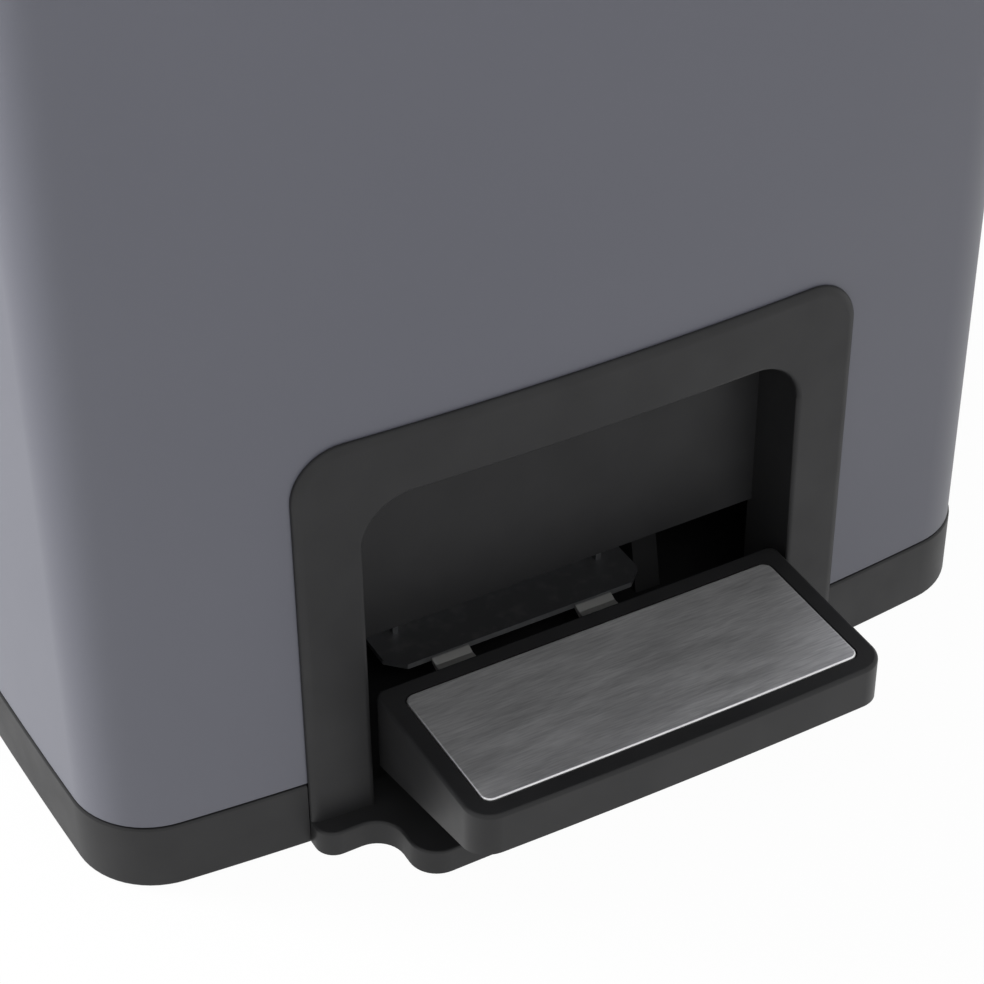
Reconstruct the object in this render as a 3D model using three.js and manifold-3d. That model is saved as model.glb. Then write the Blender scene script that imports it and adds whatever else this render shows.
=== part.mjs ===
// Double recycling bin: a painted steel body on a black base, a wide front pedal in a moulded
// surround, a lever and push rod behind it, one soft-closing lid and two lift-out buckets.
// Millimetres.  X to the right, front towards -Y, Z up.  While the pieces are made, y = 0 lies on
// the middle of the front face; the assembly is then moved so that its origin is the middle of
// its own footprint, on the floor.

import * as THREE from "three";
import { mergeVertices } from "three/addons/utils/BufferGeometryUtils.js";
import Module from "manifold-3d";

const wasm = await Module();
wasm.setup();

// ---------------------------------------------------------------- driving dimensions

// body
const BODY_WIDTH = 406;
const BODY_DEPTH = 340;
const OVERALL_HEIGHT = 600;
const LID_HEIGHT = 30;
const FRONT_BOW = 8.4;
const SIDE_BOW = 3.5;
const CORNER_RADIUS = 33;
const STEEL_WALL = 0.8;

// clearances
const SEAT_GAP = 0.3;
const SHADOW_GAP = 0.6;
const BUCKET_GAP = 4;
const LINK_GAP = 1.2;

// base and feet
const FOOT_PROUD = 2;
const FOOT_RADIUS = 10;
const FOOT_POCKET = 2;
const FOOT_INSET = 34;
const BASE_HEIGHT = 30;
const BASE_PROUD = 0.7;
const BASE_WALL = 3;
const BASE_FLOOR = 5;
const BASE_LIP_WALL = 2.5;
const POST_SIZE = 16;
const POST_X = 140;
const POST_INSET = 62;

// pedal surround
const SURROUND_WIDTH = 239;
const SURROUND_TOP = 185.6;
const SURROUND_PROUD = 3;
const SURROUND_EDGE = 4;
const SURROUND_WALL = 2.5;
const SURROUND_RADIUS = 21;
const RECESS_WIDTH = 187.2;
const RECESS_TOP = 157.4;
const RECESS_EDGE = 2;
const RECESS_DEPTH = 26.4;
const RECESS_BACK_BOTTOM = 71;
const TONGUE_WIDTH = 183;
const TONGUE_REACH = 36.6;
const TONGUE_HEIGHT = 11.5;
const TONGUE_RADIUS = 12;
const TONGUE_REAR = 11.7;
const TONGUE_WALL = 3;
const LOBE_REACH = 8;
const WELL_DEPTH = 6.5;

// pedal
const PEDAL_WIDTH = 180;
const PEDAL_REACH = 77.6;
const PEDAL_REAR = 4.6;
const PEDAL_BOW = 1.5;
const PEDAL_TOP = 64;
const PEDAL_FRONT_SKIRT = 18.5;
const PEDAL_REAR_SKIRT = 36;
const PEDAL_RADIUS = 11;
const PEDAL_REAR_RADIUS = 4;
const PEDAL_WALL = 3;
const PEDAL_EDGE = 1.6;
const PLATE_WIDTH = 163.3;
const PLATE_DEPTH = 65;
const PLATE_RADIUS = 4;
const PLATE_THICKNESS = 1.5;
const PLATE_PROUD = 0.4;
const PLATE_REAR = -3.8;

// lever and its pivot
const PIVOT_Y = 77.4;
const PIVOT_HEIGHT = 31;
const PIVOT_RADIUS = 3;
const PEDAL_SWING = 12;
const LEVER_THICKNESS = 2.5;
const LEVER_PLATE_WIDTH = 120;
const LEVER_PLATE_FRONT = 50;
const LEVER_PLATE_REAR = 92;
const LEVER_DROP = 4.5;
const LEVER_TAB_X = 33.5;
const LEVER_TAB_WIDTH = 17;
const LEVER_JOG = 2;
const LEVER_FRONT_WIDTH = 112;
const LEVER_FRONT_REACH = 60;
const LEVER_BAR_WIDTH = 24;
const LEVER_FLANGE = 8;
const LEVER_EAR_X = 48;
const LEVER_EAR_RADIUS = 8;
const BLOCK_LENGTH = 12;
const BLOCK_DEPTH = 26;
const SCREW_RADIUS = 1.5;
const SCREW_HEAD_RADIUS = 3;
const SCREW_HEAD_HEIGHT = 0.6;
const SCREW_RELIEF = 3;
const SCREW_RELIEF_DEPTH = 1;
const SCREW_X = 35;
const SCREW_Y = -28;

// push rod, its channel and the damper
const ROD_RADIUS = 4;
const ROD_REAR_INSET = 16.6;
const ROD_BEND = 12;
const ROD_FOOT_RADIUS = 9;
const ROD_FOOT_HEIGHT = 8;
const ROD_FOOT_DOME = 10;
const ROD_HEAD_REACH = 38;
const CHANNEL_WIDTH = 56;
const CHANNEL_WALL = 2;
const CHANNEL_DEPTH = 24;
const CHANNEL_DROP = 42;
const CHANNEL_NOTCH = 15;
const GUIDE_HEIGHT = 14;
const GUIDE_RISE = 32;
const GUIDE_DROP = 14;
const DAMPER_X = 15;
const DAMPER_RADIUS = 5.5;
const DAMPER_BORE = 4;
const DAMPER_PISTON = 3.6;
const DAMPER_STEM = 2;
const DAMPER_RISE = 124;
const DAMPER_LENGTH = 130;
const DAMPER_STROKE_LEFT = 20;
const CLIP_HEIGHT = 8;
const CLIP_RISE = 65;
const CLIP_WALL = 2.5;

// inner platform and buckets
const PLATFORM_THICKNESS = 3;
const LEVER_SLOT_WIDTH = 34;
const LEVER_SLOT_FRONT = 262;
const BUCKET_DROP = 34;
const BUCKET_WIDTH = 178;
const BUCKET_DEPTH = 275;
const BUCKET_SPLIT = 14;
const BUCKET_RIM = 5;
const BUCKET_RIM_DROP = 8;
const BUCKET_DRAFT = 10;
const BUCKET_WALL = 2.2;
const BUCKET_RADIUS = 26;
const BUCKET_FLOOR_ROUND = 10;

// collar, lid and hinge
const COLLAR_HEIGHT = 6;
const COLLAR_WIDTH = 14;
const COLLAR_SKIRT = 26;
const COLLAR_SKIRT_WALL = 2.5;
const BRIDGE_DEPTH = 28;
const BRIDGE_SLOT_WIDTH = 18;
const LID_GAP = 2.6;
const LID_INSET = 1;
const LID_BAND = 5;
const LID_BAND_WALL = 3;
const LID_EDGE_RADIUS = 10;
const LID_PANEL_WALL = 1;
const LID_WEB = 2;
const LID_WEB_DEPTH = 12;
const LID_SWING = 80;
const HINGE_INSET = 6.5;
const HINGE_RISE = 8;
const HINGE_RADIUS = 4;
const HINGE_PIN_RADIUS = 2;
const HINGE_X = 116;
const HINGE_BOSS_LENGTH = 18;
const HINGE_EAR_LENGTH = 6;
const HINGE_LEG_FRONT = 22;
const HINGE_LEG_REAR = 11;
const LUG_START_ANGLE = 40;
const LUG_TIP_RADIUS = 5;
const LUG_WIDTH = 10;
const BUMPER_X = 130;
const BUMPER_RADIUS = 6;

// ---------------------------------------------------------------- sizes that follow

const rad = THREE.MathUtils.degToRad;
const baseBottom = FOOT_PROUD;
const baseTop = baseBottom + BASE_HEIGHT;
const floorTop = baseBottom + BASE_FLOOR;
const steelBottom = baseTop + SHADOW_GAP;
const halfWidth = BODY_WIDTH / 2;
const bowSpan = halfWidth - SIDE_BOW - CORNER_RADIUS;
const frontRadius = (bowSpan ** 2 + FRONT_BOW ** 2) / (2 * FRONT_BOW);
const sideSpan = BODY_DEPTH / 2 - CORNER_RADIUS;
const sideRadius = (sideSpan ** 2 + SIDE_BOW ** 2) / (2 * SIDE_BOW);

const surroundTop = baseBottom + SURROUND_TOP;
const recessTop = baseBottom + RECESS_TOP;
const recessHalf = RECESS_WIDTH / 2;
const recessBack = RECESS_DEPTH + SURROUND_WALL;
const tongueTop = baseBottom + TONGUE_HEIGHT;
const pedalTop = baseBottom + PEDAL_TOP;

const platformTop = baseBottom + RECESS_BACK_BOTTOM + PLATFORM_THICKNESS;
const platformBottom = platformTop - PLATFORM_THICKNESS;

const collarTop = OVERALL_HEIGHT - LID_HEIGHT;
const bucketTop = collarTop - BUCKET_DROP;
const channelTop = collarTop - CHANNEL_DROP;
const guideLow = platformTop + GUIDE_RISE;
const guideHigh = channelTop - GUIDE_DROP - GUIDE_HEIGHT;
const damperBottom = platformTop + DAMPER_RISE;
const damperTop = damperBottom + DAMPER_LENGTH;
const clipZ = damperTop + CLIP_RISE;

const pivotZ = baseBottom + PIVOT_HEIGHT;
const leverTop = pivotZ - LEVER_DROP;
const leverBottom = leverTop - LEVER_THICKNESS;
const rodY = BODY_DEPTH - ROD_REAR_INSET;
const rodArm = rodY - PIVOT_Y;
const rodStroke = rodArm * Math.tan(rad(PEDAL_SWING)) + LEVER_DROP * (1 - 1 / Math.cos(rad(PEDAL_SWING)));

const hingeY = BODY_DEPTH - HINGE_INSET;
const hingeZ = collarTop + HINGE_RISE;
const lidBottom = collarTop + LID_GAP;
const panelBottom = lidBottom + LID_BAND + SEAT_GAP;
const webTop = panelBottom + LID_WEB_DEPTH - LID_WEB;
const lugArm = rodStroke / (Math.sin(rad(LUG_START_ANGLE)) + Math.sin(rad(LID_SWING - LUG_START_ANGLE)));
const lugY = hingeY - lugArm * Math.cos(rad(LUG_START_ANGLE));
const lugZ = hingeZ - lugArm * Math.sin(rad(LUG_START_ANGLE));
const rodHeadZ = lugZ - LUG_TIP_RADIUS - LINK_GAP - ROD_RADIUS;

const channelFront = BODY_DEPTH - STEEL_WALL - SEAT_GAP - CHANNEL_DEPTH;
const bucketRear = channelFront - BUCKET_GAP;
const bucketFront = bucketRear - BUCKET_DEPTH;

// ---------------------------------------------------------------- finishes

const finish = (name, color, roughness, metalness) =>
  new THREE.MeshStandardMaterial({ name, color, roughness, metalness });
const paintedSteel = finish("painted_steel", 0x66666d, 0.45, 0.2);
const blackPlastic = finish("black_plastic", 0x303133, 0.5, 0);
const brushedSteel = finish("brushed_steel", 0x8c8c8e, 0.35, 0.9);
const zincSteel = finish("zinc_steel", 0x85878a, 0.4, 0.8);
const bucketPlastic = finish("bucket_plastic", 0x3a3c3f, 0.55, 0);
const nylon = finish("nylon", 0xd8d6cf, 0.5, 0);
const rubber = finish("rubber", 0x1b1b1c, 0.85, 0);

// ---------------------------------------------------------------- outlines

function arc(cx, cy, radius, from, to, steps) {
  const points = [];
  for (let i = 0; i <= steps; i += 1) {
    const angle = from + ((to - from) * i) / steps;
    points.push([cx + radius * Math.cos(angle), cy + radius * Math.sin(angle)]);
  }
  return points;
}

// mirrors the right half of an outline, listed from the middle of the front to the middle of
// the rear, onto the left
function mirrored(right) {
  const left = right.filter(([x]) => x > 1e-6).map(([x, y]) => [-x, y]);
  return [...right, ...left.reverse()];
}

function roundedBox(x0, y0, x1, y1, radius, steps = 6) {
  const quarter = Math.PI / 2;
  return [
    ...arc(x1 - radius, y0 + radius, radius, -quarter, 0, steps),
    ...arc(x1 - radius, y1 - radius, radius, 0, quarter, steps),
    ...arc(x0 + radius, y1 - radius, radius, quarter, 2 * quarter, steps),
    ...arc(x0 + radius, y0 + radius, radius, 2 * quarter, 3 * quarter, steps),
  ];
}

function box(x0, y0, x1, y1) {
  return [[x0, y0], [x1, y0], [x1, y1], [x0, y1]];
}

// where two circles of known centres and radii cross, on the right of the first centre
function crossing(ax, ay, ra, bx, by, rb) {
  const dx = bx - ax;
  const dy = by - ay;
  const d = Math.hypot(dx, dy);
  const along = (ra ** 2 - rb ** 2 + d ** 2) / (2 * d);
  const across = Math.sqrt(ra ** 2 - along ** 2);
  const candidates = [1, -1].map((sign) => [
    ax + (along * dx - sign * across * dy) / d,
    ay + (along * dy + sign * across * dx) / d,
  ]);
  return candidates.reduce((best, point) => (point[0] > best[0] ? point : best));
}

// plan of the body: bowed front, slightly bowed sides, flat rear, four equal corners
function bodyOutline(inset) {
  const front = [0, frontRadius];
  const side = [halfWidth - sideRadius, BODY_DEPTH / 2];
  const cornerFront = crossing(
    ...front, frontRadius - CORNER_RADIUS, ...side, sideRadius - CORNER_RADIUS);
  const rearY = BODY_DEPTH - CORNER_RADIUS;
  const reach = Math.sqrt((sideRadius - CORNER_RADIUS) ** 2 - (rearY - side[1]) ** 2);
  const cornerRear = [side[0] + reach, rearY];
  const heading = (from, to) => Math.atan2(to[1] - from[1], to[0] - from[0]);
  const frontEnd = heading(front, cornerFront);
  const sideStart = heading(side, cornerFront);
  const sideEnd = heading(side, cornerRear);
  const radius = CORNER_RADIUS - inset;
  return mirrored([
    ...arc(...front, frontRadius - inset, -Math.PI / 2, frontEnd, 8),
    ...arc(...cornerFront, radius, frontEnd, sideStart, 8).slice(1),
    ...arc(...side, sideRadius - inset, sideStart, sideEnd, 4).slice(1),
    ...arc(...cornerRear, radius, sideEnd, Math.PI / 2, 8).slice(1),
    [0, BODY_DEPTH - inset],
  ]);
}

// how far the bowed front face lies behind its middle at a given x
function bow(x) {
  return frontRadius - Math.sqrt(frontRadius ** 2 - x ** 2);
}

// an arch in the XZ plane, right foot to left foot, with the same count of points at any size
function arch(half, top, radius, foot) {
  const shoulder = top - radius;
  const right = [];
  for (let i = 0; i < 3; i += 1) {
    right.push([half, foot + ((shoulder - foot) * i) / 3]);
  }
  right.push(...arc(half - radius, shoulder, radius, 0, Math.PI / 2, 8));
  const span = half - radius;
  for (let i = 1; i < 6; i += 1) {
    right.push([span * (1 - i / 6), top]);
  }
  right.push([0, top]);
  return mirrored(right);
}

// ---------------------------------------------------------------- solids

const axisTurns = {
  x: new THREE.Matrix4().makeBasis(
    new THREE.Vector3(0, 1, 0), new THREE.Vector3(0, 0, 1), new THREE.Vector3(1, 0, 0)),
  y: new THREE.Matrix4().makeBasis(
    new THREE.Vector3(1, 0, 0), new THREE.Vector3(0, 0, 1), new THREE.Vector3(0, -1, 0)),
  z: new THREE.Matrix4(),
};

// a straight-sided block: an outline drawn square to an axis and carried from low to high.
// Outlines are [x, y] for z, [x, z] for y and [y, z] for x.
function prism(outline, low, high, axis = "z") {
  const shape = new THREE.Shape(outline.map(([u, v]) => new THREE.Vector2(u, v)));
  const geometry = new THREE.ExtrudeGeometry(shape, { depth: high - low, bevelEnabled: false });
  const start = axis === "y" ? -high : low;
  geometry.translate(0, 0, start);
  geometry.applyMatrix4(axisTurns[axis]);
  return toSolid(geometry);
}

function toSolid(geometry) {
  geometry.deleteAttribute("normal");
  geometry.deleteAttribute("uv");
  const merged = mergeVertices(geometry, 1e-4);
  return new wasm.Manifold(new wasm.Mesh({
    numProp: 3,
    vertProperties: new Float32Array(merged.attributes.position.array),
    triVerts: new Uint32Array(merged.index.array),
  }));
}

function toGeometry(solid) {
  const mesh = solid.getMesh();
  const geometry = new THREE.BufferGeometry();
  geometry.setAttribute("position", new THREE.BufferAttribute(mesh.vertProperties, 3));
  geometry.setIndex(new THREE.BufferAttribute(mesh.triVerts, 1));
  geometry.computeVertexNormals();
  return geometry;
}

// a closed skin through rings of equally many 3-D points, capped flat at both ends.  A cap is
// drawn without the coordinate that it is square to: 0 for X, 1 for Y and 2 for Z.
function loft(rings, firstSquareTo = 2, lastSquareTo = firstSquareTo) {
  const count = rings[0].length;
  const triangles = [];
  for (let r = 0; r + 1 < rings.length; r += 1) {
    const a = r * count;
    const b = a + count;
    for (let i = 0; i < count; i += 1) {
      const j = (i + 1) % count;
      triangles.push(a + i, a + j, b + j, a + i, b + j, b + i);
    }
  }
  const last = (rings.length - 1) * count;
  for (const [i, j, k] of capFaces(rings[0], firstSquareTo)) {
    triangles.push(i, k, j);
  }
  for (const [i, j, k] of capFaces(rings[rings.length - 1], lastSquareTo)) {
    triangles.push(last + i, last + j, last + k);
  }
  return outward(rings.flat(2), triangles);
}

// the triangles of a flat ring, each turning the same way as the ring does
function capFaces(ring, squareTo) {
  const flat = ring.map((point) => {
    const [u, v] = point.filter((_, k) => k !== squareTo);
    return new THREE.Vector2(u, v);
  });
  const faces = THREE.ShapeUtils.triangulateShape(flat, []);
  return THREE.ShapeUtils.isClockWise(flat) ? faces.map(([i, j, k]) => [i, k, j]) : faces;
}

// turns every triangle over if the skin encloses a negative volume
function outward(positions, triangles) {
  let volume = 0;
  const at = (i) => new THREE.Vector3().fromArray(positions, 3 * i);
  for (let t = 0; t < triangles.length; t += 3) {
    volume += at(triangles[t]).dot(at(triangles[t + 1]).cross(at(triangles[t + 2])));
  }
  const faces = volume < 0 ? [...triangles].reverse() : triangles;
  const geometry = new THREE.BufferGeometry();
  geometry.setAttribute("position", new THREE.Float32BufferAttribute(positions, 3));
  geometry.setIndex(faces);
  return toSolid(geometry);
}

// a stack of plan outlines, each at its own height
function stack(levels) {
  return loft(levels.map(([outline, z]) => outline.map(([x, y]) => [x, y, z])));
}

// a turned piece: [radius, height] points from the axis back to the axis, or a closed ring
function turned(profile, sides, x, y) {
  const points = profile.map(([r, z]) => new THREE.Vector2(r, z));
  const geometry = new THREE.LatheGeometry(points, sides);
  geometry.rotateX(Math.PI / 2);
  geometry.translate(x, y, 0);
  return outwardTurned(geometry);
}

function outwardTurned(geometry) {
  geometry.deleteAttribute("normal");
  geometry.deleteAttribute("uv");
  const merged = mergeVertices(geometry, 1e-4);
  const index = [];
  const source = merged.index.array;
  for (let t = 0; t < source.length; t += 3) {
    const [a, b, c] = [source[t], source[t + 1], source[t + 2]];
    if (a !== b && b !== c && a !== c) {
      index.push(a, b, c);
    }
  }
  return outward(Array.from(merged.attributes.position.array), index);
}

function disc(radius, low, high, x, y, sides = 24) {
  return turned([[0, low], [radius, low], [radius, high], [0, high]], sides, x, y);
}

// a round bar along X between two stations
function crossBar(radius, x0, x1, y, z, sides = 24) {
  return prism(arc(y, z, radius, 0, 2 * Math.PI, sides).slice(0, -1), x0, x1, "x");
}

// the ring between two insets of the body outline
function bodyRing(outer, inner, low, high) {
  return prism(bodyOutline(outer), low, high).subtract(prism(bodyOutline(inner), low - 1, high + 1));
}

// ---------------------------------------------------------------- body pieces

function steelWrap() {
  const collarSeat = collarTop - COLLAR_HEIGHT - SEAT_GAP;
  const ring = bodyRing(0, STEEL_WALL, steelBottom, collarSeat);
  const clear = SURROUND_WALL + 1;
  const opening = arch(recessHalf + clear, recessTop + clear, SURROUND_RADIUS + clear, baseBottom);
  return ring.subtract(prism(opening, -BODY_DEPTH / 4, BODY_DEPTH / 4, "y"));
}

function baseTray() {
  const lipOuter = STEEL_WALL + SEAT_GAP;
  const floor = prism(bodyOutline(BASE_WALL - 1), baseBottom, floorTop);
  const skirt = bodyRing(-BASE_PROUD, BASE_WALL, baseBottom, baseTop);
  const lip = bodyRing(lipOuter, lipOuter + BASE_LIP_WALL, floorTop, platformBottom - SEAT_GAP);
  const bayHalf = SURROUND_WIDTH / 2 + SEAT_GAP;
  const bay = prism(
    box(-bayHalf, -BODY_DEPTH / 4, bayHalf, TONGUE_REAR + SEAT_GAP), 0, platformTop);
  const back = recessHalf + SURROUND_WALL + SEAT_GAP;
  const recess = prism(box(-back, -1, back, recessBack + SEAT_GAP), floorTop, platformTop);
  let tray = floor.add(skirt).add(lip);
  for (const [x, y] of postPlaces()) {
    const half = POST_SIZE / 2;
    tray = tray.add(prism(box(x - half, y - half, x + half, y + half), floorTop - 1,
      platformBottom - SEAT_GAP));
  }
  tray = tray.subtract(bay).subtract(recess);
  for (const side of [-1, 1]) {
    const [x0, x1] = [side * (recessHalf - SEAT_GAP), side * back].sort((a, b) => a - b);
    tray = tray.subtract(prism(box(x0, 0, x1, recessBack + SEAT_GAP), 0, platformTop));
  }
  for (const [x, y] of footPlaces()) {
    tray = tray.subtract(disc(FOOT_RADIUS + SEAT_GAP, 0, baseBottom + FOOT_POCKET, x, y));
  }
  return tray;
}

function postPlaces() {
  return [-1, 1].flatMap((side) => [POST_INSET, BODY_DEPTH - POST_INSET].map((y) => [side * POST_X, y]));
}

function footPlaces() {
  const x = halfWidth - FOOT_INSET;
  return [-1, 1].flatMap((side) => [FOOT_INSET, BODY_DEPTH - FOOT_INSET].map((y) => [side * x, y]));
}

function rubberFoot([x, y]) {
  return disc(FOOT_RADIUS, 0, baseBottom + FOOT_POCKET - SEAT_GAP, x, y);
}

// the raised band round the recess, swept along the arch: its face follows the bow of the
// steel, its outer edge is rounded, and its inner edge turns back as the wall of the recess
function surroundBand() {
  const outer = arch(SURROUND_WIDTH / 2, surroundTop, SURROUND_RADIUS, baseBottom);
  const inner = arch(recessHalf, recessTop, SURROUND_RADIUS, baseBottom);
  const rings = outer.map(([ox, oz], k) => {
    const [ix, iz] = inner[k];
    const width = Math.hypot(ix - ox, iz - oz);
    const place = (along, depth, flat = false) => {
      const t = along / width;
      const x = ox + (ix - ox) * t;
      return [x, flat ? depth : bow(x) + depth, oz + (iz - oz) * t];
    };
    const ring = [place(0, -SEAT_GAP)];
    const seat = 2 * SEAT_GAP;
    for (let i = 0; i <= 4; i += 1) {
      const angle = (i / 4) * (Math.PI / 2);
      ring.push(place(SURROUND_EDGE * (1 - Math.cos(angle)),
        -seat - (SURROUND_PROUD - seat) * Math.sin(angle)));
    }
    for (let i = 0; i <= 3; i += 1) {
      const angle = (i / 3) * (Math.PI / 2);
      ring.push(place(width - RECESS_EDGE * (1 - Math.sin(angle)),
        -SURROUND_PROUD + RECESS_EDGE * (1 - Math.cos(angle))));
    }
    ring.push(place(width, recessBack, true));
    ring.push(place(width - SURROUND_WALL, recessBack, true));
    ring.push(place(width - SURROUND_WALL, -SEAT_GAP));
    return ring;
  });
  return loft(rings);
}

// the foot of the surround: a low tongue on the floor with a small lobe at each side
function tongueOutline() {
  const half = TONGUE_WIDTH / 2;
  const edge = SURROUND_WIDTH / 2;
  const quarter = Math.PI / 2;
  const front = -TONGUE_REACH;
  return mirrored([
    [0, front],
    ...arc(half - TONGUE_RADIUS, front + TONGUE_RADIUS, TONGUE_RADIUS, -quarter, 0, 6),
    ...arc(half + TONGUE_RADIUS, -LOBE_REACH - TONGUE_RADIUS, TONGUE_RADIUS, 2 * quarter, quarter, 6),
    ...arc(edge - LOBE_REACH, 0, LOBE_REACH, -quarter, 0, 5),
    [edge, TONGUE_REAR],
    [0, TONGUE_REAR],
  ]);
}

function pedalSurround() {
  const half = recessHalf + SURROUND_WALL / 2;
  const backTop = recessTop + SURROUND_WALL / 2;
  const back = prism(arch(half, backTop, SURROUND_RADIUS, platformBottom), RECESS_DEPTH, recessBack, "y");
  const tongue = prism(tongueOutline(), baseBottom, tongueTop);
  const hollowHalf = TONGUE_WIDTH / 2 - TONGUE_RADIUS - TONGUE_WALL;
  const hollow = prism(
    box(-hollowHalf, TONGUE_WALL - TONGUE_REACH, hollowHalf, TONGUE_REAR - TONGUE_WALL),
    0, tongueTop - TONGUE_WALL);
  const wellHalf = LEVER_PLATE_WIDTH / 2 + BUCKET_GAP;
  const well = prism(box(-wellHalf, 0, wellHalf, TONGUE_REAR + 1), tongueTop - WELL_DEPTH, pedalTop);
  let floor = tongue.subtract(well).subtract(hollow);
  for (const side of [-1, 1]) {
    floor = floor.subtract(disc(
      SCREW_HEAD_RADIUS + SCREW_RELIEF, tongueTop - SCREW_RELIEF_DEPTH, tongueTop + 1,
      side * SCREW_X, SCREW_Y));
  }
  return surroundBand().add(back).add(floor);
}

function innerPlatform() {
  const seat = STEEL_WALL + 2 * SEAT_GAP;
  const notchHalf = recessHalf + SURROUND_WALL + SEAT_GAP;
  const notch = prism(
    box(-notchHalf, -1, notchHalf, recessBack + SEAT_GAP), platformBottom - 1, platformTop + 1);
  const slotHalf = LEVER_SLOT_WIDTH / 2;
  const slot = prism(
    box(-slotHalf, LEVER_SLOT_FRONT, slotHalf, channelFront + CHANNEL_DEPTH - CHANNEL_WALL),
    platformBottom - 1, platformTop + 1);
  return prism(bodyOutline(seat), platformBottom, platformTop).subtract(notch).subtract(slot);
}

// ---------------------------------------------------------------- pedal

// plan of the pedal, its front edge gently bowed, drawn in from its full size by inset
function pedalOutline(inset) {
  const half = PEDAL_WIDTH / 2 - inset;
  const front = inset - PEDAL_REACH;
  const rear = PEDAL_REAR - inset;
  const radius = Math.max(PEDAL_RADIUS - inset, 1);
  const rearRadius = Math.max(PEDAL_REAR_RADIUS - inset, 1);
  const points = [[0, front]];
  for (let i = 1; i < 5; i += 1) {
    const x = ((half - radius) * i) / 5;
    points.push([x, front + PEDAL_BOW * (x / half) ** 2]);
  }
  return mirrored([
    ...points,
    ...arc(half - radius, front + PEDAL_BOW + radius, radius, -Math.PI / 2, 0, 7),
    ...arc(half - rearRadius, rear - rearRadius, rearRadius, 0, Math.PI / 2, 4),
    [0, rear],
  ]);
}

// height of the sloping underside of the pedal's skirt at a given depth
function skirtBottom(y) {
  const t = (y + PEDAL_REACH) / (PEDAL_REAR + PEDAL_REACH);
  return pedalTop - PEDAL_FRONT_SKIRT - (PEDAL_REAR_SKIRT - PEDAL_FRONT_SKIRT) * t;
}

function plateOutline(grow) {
  const half = PLATE_WIDTH / 2 + grow;
  const front = PLATE_REAR - PLATE_DEPTH - grow;
  const radius = PLATE_RADIUS + grow;
  return mirrored([
    [0, front],
    ...arc(half - radius, front + PEDAL_BOW / 2 + radius, radius, -Math.PI / 2, 0, 5),
    ...arc(half - radius, PLATE_REAR + grow - radius, radius, 0, Math.PI / 2, 5),
    [0, PLATE_REAR + grow],
  ]);
}

function pedalBody() {
  const low = skirtBottom(PEDAL_REAR) - 1;
  const levels = [[pedalOutline(0), low], [pedalOutline(0), pedalTop - PEDAL_EDGE]];
  for (let i = 1; i <= 3; i += 1) {
    const angle = (i / 3) * (Math.PI / 2);
    levels.push([pedalOutline(PEDAL_EDGE * (1 - Math.cos(angle))),
      pedalTop - PEDAL_EDGE * (1 - Math.sin(angle))]);
  }
  const ceiling = pedalTop - PLATE_THICKNESS - PEDAL_WALL;
  const cavity = prism(pedalOutline(PEDAL_WALL), low - 1, ceiling);
  const reach = PEDAL_REACH * 2;
  const under = prism([
    [-reach, -pedalTop],
    [reach, -pedalTop],
    [reach, skirtBottom(reach)],
    [-reach, skirtBottom(-reach)],
  ], -PEDAL_WIDTH, PEDAL_WIDTH, "x");
  const pocket = prism(
    plateOutline(SHADOW_GAP), pedalTop + PLATE_PROUD - PLATE_THICKNESS - SEAT_GAP, pedalTop + 1);
  let body = stack(levels).subtract(cavity);
  for (const side of [-1, 1]) {
    const x = side * SCREW_X;
    const foot = leverSlope(SCREW_Y) + LEVER_THICKNESS + 2 * SEAT_GAP;
    const boss = disc(SCREW_HEAD_RADIUS + 1, foot + 1, ceiling + 0.5, x, SCREW_Y)
      .subtract(disc(SCREW_RADIUS + SEAT_GAP, foot - 1, ceiling - 2, x, SCREW_Y, 16));
    body = body.add(boss);
  }
  const rearPass = prism(
    box(-LEVER_FRONT_WIDTH / 2 - 1, PEDAL_REAR - PEDAL_WALL - 1,
      LEVER_FRONT_WIDTH / 2 + 1, PEDAL_REAR + 1),
    low - 1, leverSlope(0) + LEVER_THICKNESS + 1);
  return body.subtract(under).subtract(pocket).subtract(rearPass);
}

function pedalPlate() {
  const top = pedalTop + PLATE_PROUD;
  const edge = 0.4;
  return stack([
    [plateOutline(0), top - PLATE_THICKNESS],
    [plateOutline(0), top - edge],
    [plateOutline(-edge), top],
  ]);
}

// underside of the lever's front plate, which lies along the pedal's sloping skirt
function leverSlope(y) {
  return skirtBottom(y) + SHADOW_GAP;
}

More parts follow.
